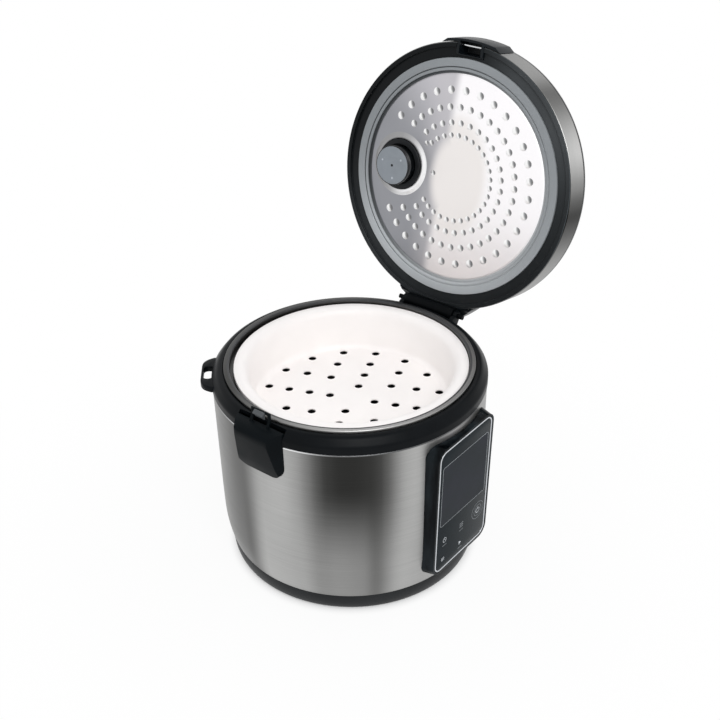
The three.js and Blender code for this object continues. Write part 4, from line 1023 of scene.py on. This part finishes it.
inlet = dict(level=46, face=135.42, depth=15)
centre, back = (0, inlet["level"]), inlet["face"] - inlet["depth"]
flange = sidePlate("inletSocket", [roundedOutline(32, 24, 3, centre)], 129.8, inlet["face"], 0.5)
unite(flange, sidePlate("inletBody", [roundedOutline(27, 19.5, 2, centre)], back, 134.4, 0.3))
cutAway(flange, sidePlate("socketTool", [roundedOutline(23.6, 16.1, 2, centre)], back + 2, 140, 0.2), *[
    block("slotTool", (x - 1.3, x + 1.3), (119, 123.5), (inlet["level"] + z - 2.3, inlet["level"] + z + 2.3))
    for x, z in ((-7, -2.5), (0, 2.5), (7, -2.5))
])
dress(flange, 40, "mattBlackPlastic", "base", "black_plastic", "inlet_socket")
print("inlet made")


# Press latch: a wedge to press, with a tower that carries the catch through the lid's pocket

latch = dict(
    half=27.8, faceHalf=19.5, bottom=157, top=208, back=-129, cornerRadius=14, pivot=(-127.5, 166),
    towerHalf=11.5, towerLeg=3, hollow=((-132.4, -115), (-7, 7), (160, 178)),
)
half, back, bottom = latch["half"], latch["back"], latch["bottom"]
sideShape = [(back, bottom), (-134.9, bottom), (-139.4, bottom + 14), (-144.8, 196)]
sideShape += bezier((-145.4, 199), (-146.3, 203.6), (-144.6, 206.4), (-137, latch["top"]), 8)
wedge = sidePlate("latchWedge", [sideShape + [(back, latch["top"])]], -half, half, 0)
planShape = [(back, -half), (-132, -half), (-145, -latch["faceHalf"]), (-146.4, -9.75)]
planShape += [(-146.8, 0)] + [(x, -y) for x, y in planShape[::-1]]
boolean(wedge, plate("planTool", [planShape], 150, 212, 0), "INTERSECT")
frontShape = roundedOutline(2 * half, 102, latch["cornerRadius"], (0, 208), 10)
boolean(wedge, place(plate("frontTool", [frontShape], -155, -120, 0), alongX), "INTERSECT")
tidyMesh(wedge)
roundEdges(wedge, 1.1, 4, 24)
cutAway(wedge, block("hollowTool", *latch["hollow"]))

towerSide = [(-133.6, 206), (-129.2, 214.3), (-129.2, 222), (-127.4, 222), (-127.4, 214.3), (-130.8, 206)]
tower = sidePlate("latchTower", [towerSide], -latch["towerHalf"], latch["towerHalf"], 0)
tidyMesh(tower)
opening = latch["towerHalf"] - latch["towerLeg"]
cutAway(tower, block("openingTool", (-140, -120), (-opening, opening), (208, 219.4)))
roundEdges(tower, 0.5, 3, 30)
latchArm = rodAlongY("latchLug", 3.4, -26, 26, latch["pivot"], 32)
unite(latchArm, block("latchArm", (-130, -127.5), (-26, 26), (162.6, 169.4)))
cutAway(latchArm, rodAlongY("boreTool", 1.9, -30, 30, latch["pivot"], 24), block("hollowTool", *latch["hollow"]))
lever = joinPieces("latchLever", [wedge, tower, latchArm])
dress(lever, 30, "leverPlastic", "latch", "black_plastic", "latch_lever")

noseSide = [(-129.5, 214.8), (-130.5, 214.8), (-130.5, 218.8), (-133.5, 218.8)]
noseSide += [(-133.5, 219.8), (-130.5, 222), (-129.5, 222)]
nose = sidePlate("latchNose", [noseSide], -6, 6, 0)
tidyMesh(nose)
roundEdges(nose, 0.3, 2, 30)
dress(nose, 30, "greyNosePlastic", "latch", "light_grey_plastic", "latch_nose")
print("latch made")


# Lid, modelled closed and then swung open about the hinge

def openUp(piece):
    return place(piece, openLid)


ring = turned("lidRing", [
    (134.3, 212.9), (134.3, 213.5), (133.9, 213.5), (133.9, 237.7), (131.9, 237.7), (131.9, 217.3),
    (120.1, 217.3), (120.1, 215.5), (120.3, 215.3), (129.6, 215.3), (129.8, 215.1), (129.8, 213.1),
    (130.2, 212.7), (134.1, 212.7),
], ring=True)
reach = rim["knuckleNear"]
barrelRoom = rodAlongY("barrelTool", 7.4, -46, 46)
boolean(barrelRoom, block("armTool", (120.3, 139.3), (-reach, reach), (211.7, 217)), "INTERSECT")
cutAway(ring, barrelRoom, block("blockTool", (-139.3, -121.5), (-15.9, 15.9), (211.7, 240.7)))
# the lid ring's tone round the lid is a painted reflection
dress(ring, 28, "lidRingPlastic", "lid", "black_plastic", "lid_ring")
# painted highlight along the ring's outer lip
paintFaces(ring, "lidLipPlastic", lambda spot: fromAxis(spot) > 133.6 and spot.z < 213.4)
openUp(ring)

band = turned("lidBand", [
    (135, 214.3), (135, 239.6), (134.7, 239.9), (134.3, 239.9), (134.3, 213.9), (134.6, 213.9),
], ring=True)
cutAway(
    band, block("armTool", (0, 140), (-42, 42), (212.9, 238.1)),
    block("blockTool", (-140, 0), (-15.9, 15.9), (212.9, 233.1)),
)
openUp(dress(band, 30, "brushedLidBand", "lid", "brushed_steel", "lid_band"))

cover = dict(radius=135, top=252.7, edge=240.2, shoulder=46, plug=131.1, plugFoot=234.1)
radius, edge, plug = cover["radius"], cover["edge"], cover["plug"]
lidCover = turned("lidCover", [
    *quarter((94, 250.2), (132.5, 243.1), 10), (132.3, 241.5), (plug - 2, 241.5), (plug - 2, cover["plugFoot"]),
    (plug, cover["plugFoot"]), (plug, edge), (radius - 0.3, edge), (radius, edge + 0.3),
    *quarter((radius - cover["shoulder"], cover["top"]), (radius, edge + 1.7), 16)[::-1],
])
cutAway(lidCover, rod("ductTool", 19.4, 240, 258, valveSpot, 64))
openUp(dress(lidCover, 35, "glossBlackPlastic", "lid", "gloss_black", "lid_cover"))
print("lid shell made")


# Hinge bracket: a flared plate round the back of the lid, and the barrel between the knuckles

hingeBracket = dict(inner=135.4, foot=213.9, top=237.7, neck=144.7, barrelHalf=29.5, barrelRadius=7)
half = hingeBracket["barrelHalf"]
curve = [(128.85, -46)] + bezier((128.85, -46), (132.8, -42.7), (138, -37.2), (hingeBracket["neck"], -half))[1:]
flare = [(121.35, -46)] + curve + [(x, -y) for x, y in curve[::-1]] + [(121.35, 46)]
bracket = plate("hingeBracket", [flare], hingeBracket["foot"], hingeBracket["top"], 1.2)
cutAway(bracket, rod("bracketTool", hingeBracket["inner"], 190, 240))
barrel = rodAlongY("hingeBarrel", hingeBracket["barrelRadius"], -half, half)
roundEdges(barrel, 0.6, 3, 60)
neck = block("hingeNeck", (hingeBracket["inner"], hingeBracket["neck"]), (-half, half), (209.2, 215.5), 0.6)
unite(bracket, barrel, neck)
cutAway(
    bracket, *[rodAlongY("knuckleTool", rim["barrelRoom"], near, far) for near, far in ((29.6, 51), (-51, -29.6))],
    rodAlongY("boreTool", rim["pinBore"], -31, 31, sides=32), rodAlongY("springTool", 5.3, -10.8, 10.8, sides=48),
)
tab = turned("hingeTab", [(134.3, 213.9), (136.4, 213.9), (136.4, 237.3), (134.3, 237.3)], ring=True)
boolean(tab, block("tabTool", (0, 144), (-41.6, 41.6), (213.5, 240)), "INTERSECT")
bracket = joinPieces("hingeBracket", [bracket, tab])
dress(bracket, 30, "lidBlackPlastic", "lid", "black_plastic", "lid_arm")
# the barrel under the bracket is painted darker: painted shade
paintFaces(bracket, "hingeBlackPlastic", lambda spot: spot.z < 213.6)
openUp(bracket)
print("hinge made")


# Lid latch housing: a block with a pocket, lapping over the steel band, and its bar

def arcAlong(radius, halfWidth, steps=16):
    reach = math.asin(halfWidth / radius)
    turns = [reach * (2 * step / steps - 1) for step in range(steps + 1)]
    return [(-radius * math.cos(turn), radius * math.sin(turn)) for turn in turns]


catch = dict(foot=212.7, top=240.7, half=15.5, pocketHalf=12.5, barAxis=(-132.1, 217.2), barRadius=1.2, barHalf=15)
across = (-catch["half"], catch["half"])
lap = plate("latchHousing", [arcAlong(135.4, 34)[::-1] + arcAlong(138.5, 28)], catch["foot"], catch["top"], 0.8)
core = block("latchCore", (-137.5, -121.9), across, (213.8, 232.7), 0.6)
lip = block("latchLip", (-137.5, -123.7), across, (catch["foot"], 216), 0.4)
unite(lap, core, lip)
pocket = block("pocketTool", (-136, -123.1), (-catch["pocketHalf"], catch["pocketHalf"]), (208, 229.7), 0.8)
cutAway(lap, pocket, rodAlongY("barTool", 1.5, -16.5, 16.5, catch["barAxis"], 32))
openUp(dress(lap, 30, "lidBlackPlastic", "lid", "black_plastic", "latch_block"))

bar = rodAlongY("catchBar", catch["barRadius"], -catch["barHalf"], catch["barHalf"], catch["barAxis"], 32)
roundEdges(bar, 0.2, 2, 60)
openUp(dress(bar, 30, "polishedSteel", "lid", "polished_steel", "catch_bar"))
print("lid latch made")


# Gasket and the dimpled plate inside the lid

gasket = turned("lidGasket", [
    (107.3, 217), (107.3, 215.2), (107.7, 214.5), (108.5, 214.2), (109.7, 214.2), (110.3, 214.5), (110.5, 215.4),
    (111, 215.4), (111.2, 214.4), (111.8, 213.8), (118.9, 213.8), (119.5, 214), (119.7, 214.6), (119.7, 217.7),
    (121.5, 217.7), (121.5, 219.5), (107.5, 219.5), (107.5, 218.6), (110, 218.6), (110, 217),
], ring=True)
# the gasket's tone round the lid is a painted sheen
dress(gasket, 35, "gasketSilicone", "lid", "grey_rubber", "lid_gasket")
# painted shade in the gasket's grooves
paintFaces(gasket, "paintedGrooveShade", lambda spot: (
    fromAxis(spot) < 107.4 or 110.2 < fromAxis(spot) < 111.25 and spot.z < 215.5
))
openUp(gasket)

inner = dict(
    radius=109.5, face=216.4, step=217.3, back=218.3,
    # radius, count, half gap in degrees, and dimple radius of each ring
    rings=((88.5, 27, 34, 4.1), (71.6, 30, 38.5, 3.7), (56.1, 25, 44.5, 3.4), (43.6, 25, 43, 2.95)),
    dimpleRise=0.29, between=(-28.4, 37.6, 2.4), centre=(0, 25, 2.8),
)
radius, face, step, back = inner["radius"], inner["face"], inner["step"], inner["back"]
innerPlate = turned("innerPlate", [
    (103.5, 217.4), (105, back), (radius - 0.2, back), (radius, back - 0.2), (radius, step + 0.2),
    (radius - 0.2, step), (105.2, step), (104.7, step - 0.1), (103.6, face + 0.1), (103.2, face),
])
cutAway(innerPlate, rod("holeTool", 28, 210, 222, valveSpot, 96))
collar = turned("plateCollar", [
    (26.5, 215), (26.7, 214.8), (28.6, 214.8), (29.4, 214.9), (30.4, 215.3), (32.2, 216.2), (33.2, 216.45),
    (34.5, 216.5), (34.5, 216.9), (28.2, 216.9), (28, 217.4), (26.5, 217.4),
], 96, valveSpot, ring=True)


def dimple(size):
    rise = size * inner["dimpleRise"]
    steps = (1, 0.85, 0.68, 0.5, 0.3, 0.1)
    dome = [(size * share, face - rise * (1 - share * share)) for share in steps]
    return turned("dimple", [(size, face + 0.3)] + dome, 16)


domes = []
for reach, count, gap, size in inner["rings"]:
    pitch = (360 - 2 * gap) / (count - 1)
    dome = dimple(size)
    domes += [copyOf(dome, aroundZ(90 + gap + pitch * index) @ moved(reach, 0)) for index in range(count)]
    bpy.data.objects.remove(dome)
domes += [place(dimple(size), moved(x, y)) for x, y, size in (inner["between"], inner["centre"])]
innerPlate = joinPieces("innerPlate", [innerPlate, collar, *domes])
dress(innerPlate, 50, "polishedPlateSteel", "lid", "polished_steel", "inner_plate")
# the dimples take a painted highlight on one flank and painted shade on the other
paintFaces(innerPlate, "dimplePaintedLight", lambda spot: spot.z < face - 0.02)
# the collar round the valve hole takes its painted highlight
paintFaces(innerPlate, "collarSteel", lambda spot: fromAxis(spot, valveSpot) < 34.6 and spot.z < 216.8)
# painted shade on the plate's edge, in the groove below the gasket's bead
paintFaces(innerPlate, "paintedGrooveShade", lambda spot: fromAxis(spot) > 104.75)
openUp(innerPlate)
print("lid plate made")


# Steam path: duct, inner valve cap and vent cap

duct = turned("steamDuct", [
    (20.9, 213.2), (21.3, 212.8), (25.7, 212.8), (26.1, 213.2), (26.1, 217.8), (30.5, 217.8), (30.5, 219.6),
    (19, 219.6), (19, 253.8), (18.7, 254.1), (17.3, 254.1), (17, 253.8), (17, 218.4), (20.9, 218.4),
], 96, valveSpot, ring=True)
openUp(dress(duct, 35, "mattBlackPlastic", "lid", "black_plastic", "steam_duct"))

cap = turned("valveCap", [
    (17.5, 203), (17.5, 218), (19.4, 218), (19.4, 208.4), (19.8, 208), (20.2, 207.8), (20.5, 207.4), (20.5, 201.8),
    (20.4, 201.4), (20, 201.2),
], 96, valveSpot)
smooth(cap, 35)
capFace = turned("capFace", [(19.5, 202), (19.5, 201.2), (19.3, 200.8), (18.9, 200.6)], 96, valveSpot)
vents = []
ventCircle = 13
for angle in (-10, 106, -126):
    turn = math.radians(angle)
    spot = ventCircle * math.cos(turn), valveSpot[1] + ventCircle * math.sin(turn)
    vents.append(turned("ventTool", [(1.2, 199), (1.2, 200.6), (0.7, 201.1)], 20, spot))
vents.append(turned("dotTool", [(2.7, 199), (2.3, 200.65), (1.4, 200.8), (1.3, 201.6)], 32, valveSpot))
cutAway(capFace, *vents)
smooth(capFace, 35)
cap = joinPieces("valveCap", [cap, capFace])
# The cap is grey plastic; its side walls take the gloss black as painted shade, and only the front face keeps the
# grey.
dress(cap, 0, "glossBlackPlastic", "inner_valve", "grey_plastic", "valve_cap")
paintFaces(cap, "greyCapPlastic", lambda spot: (
    spot.z < 200.9 or spot.z < 201.1 and fromAxis(spot, valveSpot) > 19
))
paintFaces(cap, "paleDotPlastic", lambda spot: 200.65 < spot.z < 201.2 and 11 < fromAxis(spot, valveSpot) < 15)
openUp(cap)

ventCap = turned("ventCap", [
    (14.6, 258.1), (14.6, 245), (14.9, 244.7), (16.3, 244.7), (16.6, 245), (16.6, 258.1), (21, 258.1),
    (21, 253.3), (21.2, 253.1), (24, 253.1), (24.4, 253.5),
    *bezier((24.4, 257), (24.4, 259.2), (23.3, 260.1), (21.2, 260.1), 6), (6, 260.1), (5, 259.8),
], 96, valveSpot)
cutAway(ventCap, *[
    place(block("slotTool", (-20, 20), (-2, 2), (254.7, 257.1)), moved(*valveSpot) @ aroundZ(60 * index))
    for index in range(3)
])
openUp(dress(ventCap, 35, "satinBlackPlastic", "steam_vent", "black_plastic", "vent_cap"))
print("steam path made")
